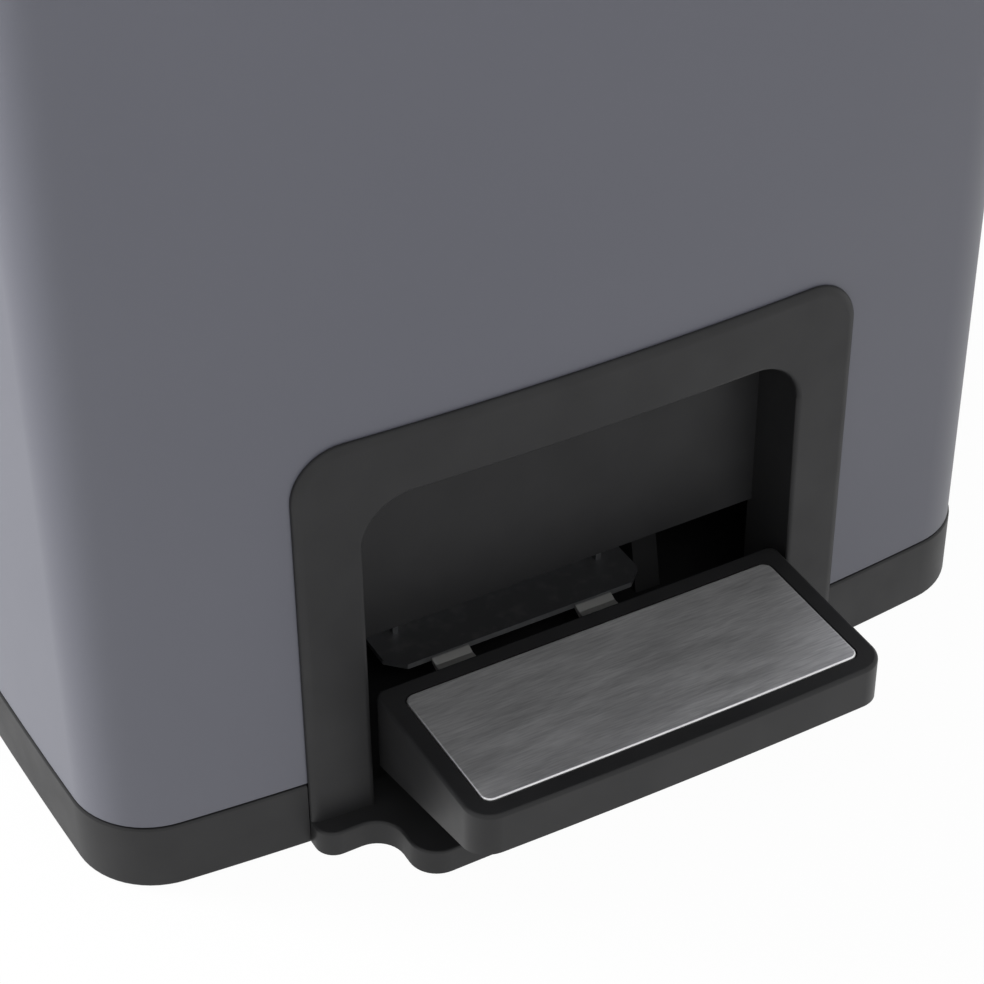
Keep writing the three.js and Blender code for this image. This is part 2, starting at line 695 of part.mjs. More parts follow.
function pedalLever() {
  const frontHalf = LEVER_FRONT_WIDTH / 2;
  const bend = PEDAL_REAR + 2 * PEDAL_WALL;
  const tip = -LEVER_FRONT_REACH;
  const front = prism([
    [tip, leverSlope(tip)],
    [0, leverSlope(0)],
    [bend, leverBottom - LEVER_JOG],
    [bend + LEVER_THICKNESS, leverBottom - LEVER_JOG],
    [bend + LEVER_THICKNESS, leverTop - LEVER_JOG],
    [bend, leverTop - LEVER_JOG],
    [0, leverSlope(0) + LEVER_THICKNESS],
    [tip, leverSlope(tip) + LEVER_THICKNESS],
  ], -frontHalf, frontHalf, "x");
  let lever = front.add(leverPlate());
  for (const side of [-1, 1]) {
    const mid = side * LEVER_TAB_X;
    lever = lever.add(leverTab(mid - LEVER_TAB_WIDTH / 2, mid + LEVER_TAB_WIDTH / 2, bend));
    const earFrom = side * LEVER_EAR_X - LEVER_THICKNESS / 2;
    const ear = prism([
      ...arc(PIVOT_Y, pivotZ, LEVER_EAR_RADIUS, 0, Math.PI, 10),
      [PIVOT_Y - LEVER_EAR_RADIUS, leverTop - 1],
      [PIVOT_Y + LEVER_EAR_RADIUS, leverTop - 1],
    ], earFrom, earFrom + LEVER_THICKNESS, "x");
    lever = lever.add(ear.subtract(
      crossBar(PIVOT_RADIUS + SEAT_GAP, earFrom - 1, earFrom + LEVER_THICKNESS + 1, PIVOT_Y, pivotZ)));
    lever = lever.subtract(disc(SCREW_RADIUS + SEAT_GAP, leverSlope(SCREW_Y) - 3,
      leverSlope(SCREW_Y) + 6, side * SCREW_X, SCREW_Y, 16));
  }
  return lever;
}

function leverTab(x0, x1, from) {
  const to = LEVER_PLATE_FRONT;
  const low = leverBottom - LEVER_JOG;
  const high = leverTop - LEVER_JOG;
  const jog = to - 2 * LEVER_JOG;
  return prism([
    [from + 1, low], [jog, low], [to + 1, leverBottom],
    [to + 1, leverTop], [jog, high], [from + 1, high],
  ], x0, x1, "x");
}

// the wide plate over the pivot, and the narrow flanged bar that runs to the push rod
function leverPlate() {
  const half = LEVER_PLATE_WIDTH / 2;
  const barHalf = LEVER_BAR_WIDTH / 2;
  const tail = rodY + ROD_FOOT_RADIUS;
  const cut = LEVER_THICKNESS * 3;
  const plate = prism(mirrored([
    [0, LEVER_PLATE_FRONT],
    [half - cut, LEVER_PLATE_FRONT],
    [half, LEVER_PLATE_FRONT + cut],
    [half, LEVER_PLATE_REAR - cut],
    [half - cut, LEVER_PLATE_REAR],
    [2 * barHalf, LEVER_PLATE_REAR],
    [barHalf, LEVER_PLATE_REAR + barHalf],
    ...arc(barHalf - 4, tail - 4, 4, 0, Math.PI / 2, 4),
    [0, tail],
  ]), leverBottom, leverTop);
  const flange = (x0) => prism(
    box(x0, LEVER_PLATE_REAR, x0 + LEVER_THICKNESS, tail - 4), leverBottom - LEVER_FLANGE, leverTop - 1);
  return plate.add(flange(-barHalf)).add(flange(barHalf - LEVER_THICKNESS));
}

function pedalScrew(side) {
  const x = side * SCREW_X;
  const y = SCREW_Y;
  const slope = (PEDAL_REAR_SKIRT - PEDAL_FRONT_SKIRT) / (PEDAL_REAR + PEDAL_REACH);
  const seat = leverSlope(y) - slope * SCREW_HEAD_RADIUS - SEAT_GAP;
  const tip = pedalTop - PLATE_THICKNESS - PEDAL_WALL - 2 - SEAT_GAP;
  return turned([
    [0, seat - SCREW_HEAD_HEIGHT],
    [SCREW_HEAD_RADIUS, seat - SCREW_HEAD_HEIGHT],
    [SCREW_HEAD_RADIUS, seat],
    [SCREW_RADIUS, seat],
    [SCREW_RADIUS, tip],
    [0, tip],
  ], 12, x, y);
}

function pivotPin() {
  const half = pivotBlockInner() + BLOCK_LENGTH;
  return crossBar(PIVOT_RADIUS, -half, half, PIVOT_Y, pivotZ);
}

function pivotBlockInner() {
  return LEVER_PLATE_WIDTH / 2 + BUCKET_GAP;
}

function pivotBlock(side) {
  const inner = pivotBlockInner();
  const half = BLOCK_DEPTH / 2;
  const [x0, x1] = side < 0 ? [-inner - BLOCK_LENGTH, -inner] : [inner, inner + BLOCK_LENGTH];
  const top = pivotZ + LEVER_EAR_RADIUS;
  const block = prism([
    [PIVOT_Y - half, floorTop + SEAT_GAP],
    [PIVOT_Y + half, floorTop + SEAT_GAP],
    [PIVOT_Y + half / 2, top],
    [PIVOT_Y - half / 2, top],
  ], x0, x1, "x");
  return block.subtract(crossBar(PIVOT_RADIUS + SEAT_GAP, x0 - 1, x1 + 1, PIVOT_Y, pivotZ));
}

// ---------------------------------------------------------------- push rod and damper

// an upright rod whose top bends forward, under the lid's lug
function pushRod() {
  const bottom = leverTop + SEAT_GAP + ROD_FOOT_HEIGHT + SEAT_GAP;
  const head = rodY - ROD_HEAD_REACH;
  const section = arc(0, 0, ROD_RADIUS, 0, 2 * Math.PI, 12).slice(0, -1);
  const rings = [section.map(([x, v]) => [x, rodY + v, bottom])];
  for (let i = 0; i <= 8; i += 1) {
    const angle = (i / 8) * (Math.PI / 2);
    const y = rodY - ROD_BEND * (1 - Math.cos(angle));
    const z = rodHeadZ - ROD_BEND * (1 - Math.sin(angle));
    rings.push(section.map(([x, v]) => [x, y + v * Math.cos(angle), z + v * Math.sin(angle)]));
  }
  rings.push(section.map(([x, v]) => [x, head, rodHeadZ + v]));
  return loft(rings, 2, 1);
}

// a round foot with a domed sole, so that it rolls on the tilting tail of the lever
function rodFoot() {
  const low = leverTop + SEAT_GAP;
  const reach = Math.asin(ROD_FOOT_RADIUS / ROD_FOOT_DOME);
  const profile = [];
  for (let i = 0; i <= 6; i += 1) {
    const angle = (reach * i) / 6;
    profile.push([ROD_FOOT_DOME * Math.sin(angle), low + ROD_FOOT_DOME * (1 - Math.cos(angle))]);
  }
  profile.push([ROD_FOOT_RADIUS, low + ROD_FOOT_HEIGHT], [0, low + ROD_FOOT_HEIGHT]);
  return turned(profile, 24, 0, rodY);
}

// an open channel, notched at its foot for the rising tail of the lever
function rodChannel() {
  const half = CHANNEL_WIDTH / 2;
  const rear = channelFront + CHANNEL_DEPTH - SEAT_GAP;
  const low = platformTop + SEAT_GAP;
  const outer = prism(box(-half, channelFront, half, rear), low, channelTop);
  const inner = prism(
    box(CHANNEL_WALL - half, channelFront + CHANNEL_WALL, half - CHANNEL_WALL, rear + 1),
    low - 1, channelTop + 1);
  const passHalf = LEVER_BAR_WIDTH / 2 + 3;
  const pass = prism(
    box(-passHalf, channelFront - 1, passHalf, channelFront + CHANNEL_WALL + 1),
    low - 1, low + CHANNEL_NOTCH);
  return outer.subtract(inner).subtract(pass);
}

function rodGuide(low) {
  const half = CHANNEL_WIDTH / 2 - CHANNEL_WALL - SEAT_GAP;
  const front = channelFront + CHANNEL_WALL + SEAT_GAP;
  const rear = channelFront + CHANNEL_DEPTH - 2 * SEAT_GAP;
  return prism(box(-half, front, half, rear), low, low + GUIDE_HEIGHT)
    .subtract(disc(ROD_RADIUS + SEAT_GAP, low - 1, low + GUIDE_HEIGHT + 1, 0, rodY));
}

function damperCylinder() {
  const top = damperTop;
  return turned([
    [0, damperBottom],
    [DAMPER_RADIUS, damperBottom],
    [DAMPER_RADIUS, top],
    [DAMPER_STEM + SEAT_GAP, top],
    [DAMPER_STEM + SEAT_GAP, top - CHANNEL_WALL],
    [DAMPER_BORE, top - CHANNEL_WALL],
    [DAMPER_BORE, damperBottom + CHANNEL_WALL],
    [0, damperBottom + CHANNEL_WALL],
  ], 20, DAMPER_X, rodY);
}

function damperPiston() {
  const head = damperBottom + DAMPER_STROKE_LEFT;
  const headTop = head + 2 * DAMPER_PISTON;
  return turned([
    [0, head],
    [DAMPER_PISTON, head],
    [DAMPER_PISTON, headTop],
    [DAMPER_STEM, headTop],
    [DAMPER_STEM, clipZ + CLIP_HEIGHT / 2],
    [0, clipZ + CLIP_HEIGHT / 2],
  ], 20, DAMPER_X, rodY);
}

// the shelf in the channel that the damper stands on, with a hole for the rod
function damperShelf() {
  return rodGuide(damperBottom - SEAT_GAP - GUIDE_HEIGHT);
}

// the clip that carries the damper's stem with the rod
function damperClip() {
  const reach = ROD_RADIUS + CLIP_WALL;
  const outline = roundedBox(-reach, rodY - reach, DAMPER_X + DAMPER_STEM + CLIP_WALL, rodY + reach, 3, 3);
  return prism(outline, clipZ, clipZ + CLIP_HEIGHT)
    .subtract(disc(ROD_RADIUS + SEAT_GAP, clipZ - 1, clipZ + CLIP_HEIGHT + 1, 0, rodY))
    .subtract(disc(DAMPER_STEM + SEAT_GAP, clipZ - 1, clipZ + CLIP_HEIGHT / 2 + SEAT_GAP,
      DAMPER_X, rodY, 16));
}

// ---------------------------------------------------------------- buckets

function bucketOutline(inset) {
  const x0 = BUCKET_SPLIT / 2 + inset;
  const x1 = BUCKET_SPLIT / 2 + BUCKET_WIDTH - inset;
  const radius = Math.max(BUCKET_RADIUS - inset / 2, 6);
  return roundedBox(x0, bucketFront + inset, x1, bucketRear - inset, radius, 6);
}

// a drafted bucket with a rounded floor edge and a turned-down rim
function bucket(side) {
  const low = platformTop + SEAT_GAP;
  const solidTo = (wall, bottom, top) => {
    const foot = BUCKET_RIM + BUCKET_DRAFT + wall;
    const levels = [];
    for (let i = 0; i <= 3; i += 1) {
      const angle = (i / 3) * (Math.PI / 2);
      levels.push([bucketOutline(foot + BUCKET_FLOOR_ROUND * (1 - Math.sin(angle))),
        bottom + BUCKET_FLOOR_ROUND * (1 - Math.cos(angle))]);
    }
    levels.push([bucketOutline(BUCKET_RIM + wall), top]);
    return stack(levels);
  };
  const rim = prism(bucketOutline(0), bucketTop - BUCKET_RIM_DROP, bucketTop)
    .subtract(prism(bucketOutline(BUCKET_WALL), bucketTop - BUCKET_RIM_DROP - 1,
      bucketTop - BUCKET_WALL));
  const shell = solidTo(0, low, bucketTop).add(rim)
    .subtract(solidTo(BUCKET_WALL, low + BUCKET_WALL, bucketTop + 1));
  return side > 0 ? shell : shell.mirror([1, 0, 0]);
}

// ---------------------------------------------------------------- collar and lid

function topCollar() {
  const low = collarTop - COLLAR_HEIGHT;
  const skirtInset = STEEL_WALL + SEAT_GAP;
  const cap = bodyRing(0, COLLAR_WIDTH, low, collarTop);
  const skirt = bodyRing(skirtInset, skirtInset + COLLAR_SKIRT_WALL, low - COLLAR_SKIRT, low + 1);
  const bridgeFront = BODY_DEPTH - BRIDGE_DEPTH;
  const bridge = prism(
    box(-HINGE_X - HINGE_BOSS_LENGTH, bridgeFront, HINGE_X + HINGE_BOSS_LENGTH, BODY_DEPTH - 2),
    low, collarTop);
  let collar = cap.add(skirt).add(bridge);
  for (const side of [-1, 1]) {
    collar = collar.add(hingeBoss(side));
  }
  const slotHalf = BRIDGE_SLOT_WIDTH / 2;
  return collar.subtract(prism(
    box(-slotHalf, bridgeFront - 1, slotHalf, rodY + ROD_RADIUS + 2), low - 1, collarTop + 1));
}

// a boss whose leg leans forward, so that the lid's rear edge can swing down behind it
function hingeBoss(side) {
  const x0 = side * HINGE_X - HINGE_BOSS_LENGTH / 2;
  const x1 = x0 + HINGE_BOSS_LENGTH;
  const knuckle = crossBar(HINGE_RADIUS, x0, x1, hingeY, hingeZ);
  const low = collarTop - 1;
  const at = (angle) => [
    hingeY + HINGE_RADIUS * Math.cos(rad(angle)), hingeZ + HINGE_RADIUS * Math.sin(rad(angle))];
  const leg = prism([
    [hingeY - HINGE_LEG_FRONT, low], [hingeY - HINGE_LEG_REAR, low], at(232), at(115),
  ], x0, x1, "x");
  return knuckle.add(leg)
    .subtract(crossBar(HINGE_PIN_RADIUS + SEAT_GAP, x0 - 1, x1 + 1, hingeY, hingeZ, 16));
}

function hingePin(side) {
  const half = HINGE_BOSS_LENGTH / 2 + SEAT_GAP + HINGE_EAR_LENGTH;
  return crossBar(HINGE_PIN_RADIUS, side * HINGE_X - half, side * HINGE_X + half, hingeY, hingeZ, 16);
}

function lidFrame() {
  const band = bodyRing(LID_INSET, LID_INSET + LID_BAND_WALL, lidBottom, lidBottom + LID_BAND);
  const seat = LID_INSET + LID_PANEL_WALL + SEAT_GAP;
  const upstand = bodyRing(seat, LID_INSET + LID_BAND_WALL, lidBottom + LID_BAND - 1, webTop);
  const web = prism(bodyOutline(seat), webTop - LID_WEB, webTop);
  let lid = band.add(upstand).add(web);
  for (const side of [-1, 1]) {
    const gap = HINGE_BOSS_LENGTH / 2 + SEAT_GAP;
    const mid = side * HINGE_X;
    lid = lid.subtract(prism(
      box(mid - gap, hingeY - HINGE_LEG_FRONT - 3, mid + gap, BODY_DEPTH),
      lidBottom - 1, webTop - LID_WEB));
    for (const end of [mid - gap - HINGE_EAR_LENGTH, mid + gap]) {
      lid = lid.add(lidEar(end, end + HINGE_EAR_LENGTH));
    }
  }
  return lid;
}

function lidEar(x0, x1) {
  const roof = webTop - 1;
  const ear = crossBar(HINGE_RADIUS, x0, x1, hingeY, hingeZ).add(prism(
    box(hingeY - HINGE_RADIUS, hingeZ, hingeY + HINGE_RADIUS, roof), x0, x1, "x"));
  return ear.subtract(crossBar(HINGE_PIN_RADIUS + SEAT_GAP, x0 - 1, x1 + 1, hingeY, hingeZ, 16));
}

function lidPanel() {
  const domed = (grow, bottom) => {
    const top = OVERALL_HEIGHT - grow;
    const radius = LID_EDGE_RADIUS - grow;
    const levels = [[bodyOutline(LID_INSET + grow), bottom]];
    for (let i = 0; i <= 5; i += 1) {
      const angle = (i / 5) * (Math.PI / 2);
      levels.push([bodyOutline(LID_INSET + grow + radius * (1 - Math.cos(angle))),
        top - radius * (1 - Math.sin(angle))]);
    }
    return stack(levels);
  };
  return domed(0, panelBottom).subtract(domed(LID_PANEL_WALL, panelBottom - 1));
}

// the rib under the lid that the push rod lifts; its tip is round about the lifting point
function lidLug() {
  const half = LUG_WIDTH / 2;
  const root = webTop - LID_WEB - SEAT_GAP;
  return prism([
    ...arc(lugY, lugZ, LUG_TIP_RADIUS, Math.PI, 2 * Math.PI, 10),
    [lugY + LUG_TIP_RADIUS * 2, root],
    [lugY - LUG_TIP_RADIUS * 2, root],
  ], -half, half, "x");
}

function lidBumper(side) {
  const high = lidBottom - SEAT_GAP;
  return disc(BUMPER_RADIUS - 3, collarTop + SEAT_GAP, high, side * BUMPER_X, LID_INSET + BUMPER_RADIUS);
}

// ---------------------------------------------------------------- assembly

const assembly = new THREE.Group();
const frontEdge = -PEDAL_REACH;
const rearEdge = BODY_DEPTH + BASE_PROUD;
assembly.position.y = -(frontEdge + rearEdge) / 2;

function place(name, solid, material) {
  const mesh = new THREE.Mesh(toGeometry(solid), material);
  mesh.name = name;
  assembly.add(mesh);
}

const sides = [["left", -1], ["right", 1]];
place("steel_wrap", steelWrap(), paintedSteel);
place("base_tray", baseTray(), blackPlastic);
place("pedal_surround", pedalSurround(), blackPlastic);
place("inner_platform", innerPlatform(), blackPlastic);
footPlaces().forEach(([x, y]) => {
  const end = y < BODY_DEPTH / 2 ? "front" : "rear";
  place(`foot_${end}_${x < 0 ? "left" : "right"}`, rubberFoot([x, y]), rubber);
});
place("pivot_pin", pivotPin(), zincSteel);
place("pedal_body", pedalBody(), blackPlastic);
place("pedal_plate", pedalPlate(), brushedSteel);
place("pedal_lever", pedalLever(), zincSteel);
place("push_rod", pushRod(), zincSteel);
place("push_rod_foot", rodFoot(), nylon);
place("rod_channel", rodChannel(), blackPlastic);
place("rod_guide_lower", rodGuide(guideLow), nylon);
place("rod_guide_upper", rodGuide(guideHigh), nylon);
place("damper_shelf", damperShelf(), nylon);
place("damper_cylinder", damperCylinder(), zincSteel);
place("damper_piston", damperPiston(), zincSteel);
place("damper_clip", damperClip(), nylon);
place("top_collar", topCollar(), blackPlastic);
place("lid_frame", lidFrame(), blackPlastic);
place("lid_panel", lidPanel(), paintedSteel);
place("lid_lug", lidLug(), blackPlastic);
for (const [name, side] of sides) {
  place(`pivot_block_${name}`, pivotBlock(side), blackPlastic);
  place(`pedal_screw_${name}`, pedalScrew(side), zincSteel);
  place(`hinge_pin_${name}`, hingePin(side), zincSteel);
  place(`lid_bumper_${name}`, lidBumper(side), rubber);
  place(`bucket_${name}`, bucket(side), bucketPlastic);
}

export default assembly;
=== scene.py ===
"""A double recycling bin with a wide front pedal, dressed round its CAD frame.

Lengths are written in millimetres and turned into metres by mm().  While a piece is made, y = 0
is the middle of the front face of the steel; settle() then moves it into the frame's own place.
A piece that only cuts or joins reaches past the other one, by any amount, so that no two faces
lie together.
"""
import math

import bpy
from mathutils import Matrix, Vector


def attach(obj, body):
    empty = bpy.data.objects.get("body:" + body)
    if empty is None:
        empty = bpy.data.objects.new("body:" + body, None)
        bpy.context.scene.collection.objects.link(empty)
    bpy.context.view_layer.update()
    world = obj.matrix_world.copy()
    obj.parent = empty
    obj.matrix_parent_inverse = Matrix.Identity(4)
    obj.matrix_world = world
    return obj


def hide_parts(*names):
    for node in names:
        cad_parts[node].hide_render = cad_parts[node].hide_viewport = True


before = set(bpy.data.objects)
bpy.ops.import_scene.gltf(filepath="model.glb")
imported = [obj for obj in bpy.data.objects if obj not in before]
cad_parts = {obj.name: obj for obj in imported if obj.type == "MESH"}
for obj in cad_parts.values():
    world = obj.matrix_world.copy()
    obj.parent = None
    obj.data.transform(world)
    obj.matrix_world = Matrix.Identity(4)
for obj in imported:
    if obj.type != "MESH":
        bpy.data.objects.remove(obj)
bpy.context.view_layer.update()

QUARTER = math.pi / 2

# ---------------------------------------------------------------- driving sizes, in millimetres

BODY_WIDTH = 406
BODY_DEPTH = 340
FRONT_BOW = 8.4
SIDE_BOW = 3.5
CORNER_RADIUS = 33
STEEL_WALL = 0.8
SEAT_GAP = 0.3
FLOOR = 2                      # underside of the base, on its rubber feet
BASE_TOP = FLOOR + 30
BASE_PROUD = 0.7
BASE_EDGE = 1.1
BASE_FLOOR = 5
BASE_WALL = 3
STEEL_BOTTOM = BASE_TOP + 0.6
STEEL_EDGE = 0.25
PLATFORM = 73
POST_X = 140
POST_INSET = 62                # from the front and the rear of the body to a post's middle
POST_HALF = 8

SURROUND_HALF = 119.5
SURROUND_TOP = FLOOR + 185.6
SURROUND_PROUD = 3
SURROUND_EDGE = 4
RECESS_HALF = 93.6
RECESS_TOP = FLOOR + 157.4
RECESS_WALL = 2.5
RECESS_DEPTH = 26.4
RECESS_EDGE = 2
RECESS_OVERLAP = 1.5           # how far the recess reaches forward into the flange
ARCH_RADIUS = 21
TONGUE_HALF = 91.5
TONGUE_REACH = 36.6
TONGUE_REAR = 11.7
TONGUE_TOP = FLOOR + 11.5
TONGUE_RADIUS = 12
TONGUE_WALL = 3
TONGUE_EDGE = 1.2
WELL_HALF = 64
WELL_DEPTH = 6.5
LOBE_REACH = 8

PEDAL_HALF = 90
PEDAL_FRONT = -77.6
PEDAL_REAR = 4.6
PEDAL_TOP = FLOOR + 64
PEDAL_BOW = 1.5
PEDAL_CORNER = 11
PEDAL_REAR_CORNER = 4
PEDAL_SKIRT_FRONT = PEDAL_TOP - 18.5
PEDAL_SKIRT_REAR = PEDAL_TOP - 36
PEDAL_WALL = 3
PEDAL_EDGE = 1.6
PLATE_HALF = 81.65
PLATE_REAR = -3.8
PLATE_FRONT = -68.8
PLATE_CORNER = 4
PLATE_THICKNESS = 1.5
PLATE_PROUD = 0.4
PLATE_GAP = 0.6
PLATE_EDGE = 0.8
TAB_REACH = 109.3              # from the lever's front end back to where its two tabs end
SCREW_X = 35
SCREW_Y = -28
SCREW_HEAD = 3
SCREW_RELIEF = 3
SCREW_RELIEF_DEPTH = 1
SCREW_BOSS = 4
SCREW_BORE = 1.8
SCREW_CAP = 2.5                # solid above the bore
LEVER_LIFT = 0.6               # from the skirt's lower edge to the lever, and on to the bosses
LEVER_THICKNESS = 2.5
LEVER_HALF = 56

COLLAR_TOP = 570
COLLAR_HEIGHT = 6
LID_BOTTOM = COLLAR_TOP + 2.6
LID_BAND = 5
LID_INSET = 1
LID_TOP = 600
LID_EDGE = 10
PANEL_WALL = 1

BUCKET_INNER = 7               # from the middle of the bin to a bucket's rim
BUCKET_OUTER = 185
BUCKET_FRONT = 35.9
BUCKET_REAR = 310.9
BUCKET_TOP = COLLAR_TOP - 34
BUCKET_FLOOR = PLATFORM + 3.3
BUCKET_RIM = 5
BUCKET_RIM_DROP = 8
BUCKET_DRAFT = 10
BUCKET_WALL = 2.2
BUCKET_CORNER = 26
BUCKET_FOOT_EDGE = 10
BUCKET_RIM_EDGE = 1.5

# the frame's origin is the middle of the footprint, this far behind the front of the steel
FRONT_TO_ORIGIN = (BODY_DEPTH + BASE_PROUD + PEDAL_FRONT) / 2

NEAR = 0.01                    # a point this close to a level lies on it
CLOSE = 0.02                   # the same, after a bend or a boolean
SLICE_PITCH = 12
SLICE_SHIFT = 0.37             # keeps the slices off the pieces' own corners

# ---------------------------------------------------------------- studio, in metres and watts

ROOM_LIGHT = 0.6
ROOM_RIGHT_SHARE = 0.35
FLOOR_SIZE = 14
FLOOR_DROP = 0.0002
FLOOR_GLOW = 0.97
# name, place, target, size, power
LAMPS = (
    ("left_softbox", (-2.0, 1.45, 0.9), (-0.2, 0, 0.3), (0.8, 1.3), 106),
    ("front_softbox", (-0.1, -2.3, 1.7), (0, 0, 0.25), (2.0, 1.4), 26),
)
CAMERA_PLACE = (-0.4203, -0.82455, 0.762)
CAMERA_YAW, CAMERA_PITCH, CAMERA_ROLL = 28.712, 37.949, -0.479
CAMERA_LENS = 100.605
CAMERA_SENSOR = 36
CAMERA_NEAR = 0.05


def mm(*values):
    scaled = tuple(v * 0.001 for v in values)
    return scaled[0] if len(scaled) == 1 else scaled


# ---------------------------------------------------------------- working by hand, in code

def deselect():
    bpy.ops.object.select_all(action="DESELECT")


def activate(piece):
    deselect()
    piece.select_set(True)
    bpy.context.view_layer.objects.active = piece


def in_edit(piece, mode="EDGE"):
    activate(piece)
    kinds = tuple(mode == kind for kind in ("VERT", "EDGE", "FACE"))
    bpy.context.scene.tool_settings.mesh_select_mode = kinds
    bpy.ops.object.mode_set(mode="EDIT")


def out_of_edit():
    bpy.ops.object.mode_set(mode="OBJECT")


def pick(piece, wanted, kind="edges"):
    """Selects the vertices, edges or faces whose points, in millimetres, all pass a test."""
    mesh = piece.data
    for items in (mesh.vertices, mesh.edges, mesh.polygons):
        items.foreach_set("select", [False] * len(items))
    points = [v.co * 1000 for v in mesh.vertices]
    for item in getattr(mesh, kind):
        corners = [item.index] if kind == "vertices" else item.vertices
        item.select = all(wanted(points[i]) for i in corners)


def anywhere(point):
    return True


def bevel_picked(piece, width, segments, kind="edges"):
    in_edit(piece, "VERT" if kind == "vertices" else "EDGE")
    affect = "VERTICES" if kind == "vertices" else "EDGES"
    bpy.ops.mesh.bevel(offset=mm(width), segments=segments, affect=affect, clamp_overlap=False)
    out_of_edit()


def bevel(piece, wanted, width, segments, kind="edges"):
    pick(piece, wanted, kind)
    bevel_picked(piece, width, segments, kind)


def bevel_rim(piece, level, width, segments, wanted=anywhere):
    """Rounds the outline of the flat face at a level, and leaves the cuts across it alone."""
    mesh = piece.data
    points = [v.co * 1000 for v in mesh.vertices]
    borders = {}
    for face in mesh.polygons:
        if all(abs(points[i].z - level) < NEAR for i in face.vertices):
            for key in face.edge_keys:
                borders[key] = borders.get(key, 0) + 1
    pick(piece, wanted)
    for edge in mesh.edges:
        edge.select = edge.select and borders.get(edge.key) == 1
    bevel_picked(piece, width, segments)


def bevel_along(piece, axis, wanted, radius, segments):
    """Rounds the edges that run along one axis and whose ends pass a test."""
    pick(piece, wanted)
    vertices = piece.data.vertices
    for edge in piece.data.edges:
        run = vertices[edge.vertices[0]].co - vertices[edge.vertices[1]].co
        across = [abs(run[i]) for i in range(3) if i != axis]
        if edge.select and max(across) > 1e-6:
            edge.select = False
    bevel_picked(piece, radius, segments)


def block(name, low, high):
    """A box between two corners, with its place in its mesh."""
    deselect()
    centre = [(a + b) / 2 for a, b in zip(low, high)]
    bpy.ops.mesh.primitive_cube_add(size=1, location=mm(*centre))
    piece = bpy.context.object
    piece.name = name
    piece.scale = mm(*(b - a for a, b in zip(low, high)))
    bpy.ops.object.transform_apply(location=True, rotation=True, scale=True)
    return piece


def boolean(piece, other, operation):
    activate(piece)
    modifier = piece.modifiers.new("join", "BOOLEAN")
    modifier.operation = operation
    modifier.solver = "EXACT"
    modifier.object = other
    bpy.ops.object.modifier_apply(modifier=modifier.name)
    bpy.data.objects.remove(other, do_unlink=True)
    in_edit(piece, "FACE")
    bpy.ops.mesh.select_all(action="SELECT")
    bpy.ops.mesh.dissolve_limited(angle_limit=math.radians(0.05))
    out_of_edit()
    return piece


def cut(piece, other):
    return boolean(piece, other, "DIFFERENCE")


def join(piece, other):
    return boolean(piece, other, "UNION")


def gather(name, *pieces):
    """Several closed shells as one object."""
    activate(pieces[0])
    for other in pieces[1:]:
        other.select_set(True)
    bpy.ops.object.join()
    pieces[0].name = name
    return pieces[0]


def clean(piece):
    in_edit(piece, "VERT")
    bpy.ops.mesh.select_all(action="SELECT")
    bpy.ops.mesh.remove_doubles(threshold=1e-6)
    bpy.ops.mesh.normals_make_consistent(inside=False)
    out_of_edit()


def settle(piece, body, material, replaced=(), angle=35):
    """Moves a finished piece to its place in the frame, smooths it and hands it over."""
    activate(piece)
    piece.location = (0, mm(-FRONT_TO_ORIGIN), 0)
    bpy.ops.object.transform_apply(location=True, rotation=True, scale=True)
    bpy.ops.object.shade_smooth_by_angle(angle=math.radians(angle))
    modifier = piece.modifiers.new("even", "WEIGHTED_NORMAL")
    modifier.keep_sharp = True
    bpy.ops.object.modifier_apply(modifier=modifier.name)
    piece.data.materials.clear()
    piece.data.materials.append(material)
    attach(piece, body)
    if replaced:
        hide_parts(*replaced)
    return piece


# ---------------------------------------------------------------- the plan of the body

def plan_arcs():
    """Centre and swing of each round stretch of the plan, from the middle of the front to the
    straight rear, on the right-hand side."""
    half = BODY_WIDTH / 2
    span = half - SIDE_BOW - CORNER_RADIUS
    front_radius = (span ** 2 + FRONT_BOW ** 2) / (2 * FRONT_BOW)
    reach = BODY_DEPTH / 2 - CORNER_RADIUS
    side_radius = (reach ** 2 + SIDE_BOW ** 2) / (2 * SIDE_BOW)
    front = Vector((0, front_radius))
    side = Vector((half - side_radius, BODY_DEPTH / 2))
    from_front = front_radius - CORNER_RADIUS
    from_side = side_radius - CORNER_RADIUS
    link = side - front
    along = (from_front ** 2 - from_side ** 2 + link.length ** 2) / (2 * link.length)
    across = math.sqrt(from_front ** 2 - along ** 2)
    step = link.normalized()
    options = [front + step * along + Vector((-step.y, step.x)) * s * across for s in (1, -1)]
    corner = max(options, key=lambda p: p.x)
    rear_y = BODY_DEPTH - CORNER_RADIUS
    rear = Vector((side.x + math.sqrt(from_side ** 2 - (rear_y - side.y) ** 2), rear_y))
    heading = [-QUARTER]
    for start, end in ((front, corner), (side, corner), (side, rear)):
        heading.append(math.atan2(end.y - start.y, end.x - start.x))
    heading.append(QUARTER)
    centres = (front, corner, side, rear)
    return [(c, b - a) for c, a, b in zip(centres, heading, heading[1:])]


PLAN = plan_arcs()
PLAN_STEPS = (26, 14, 12, 14)
FRONT_RADIUS = PLAN[0][0].y


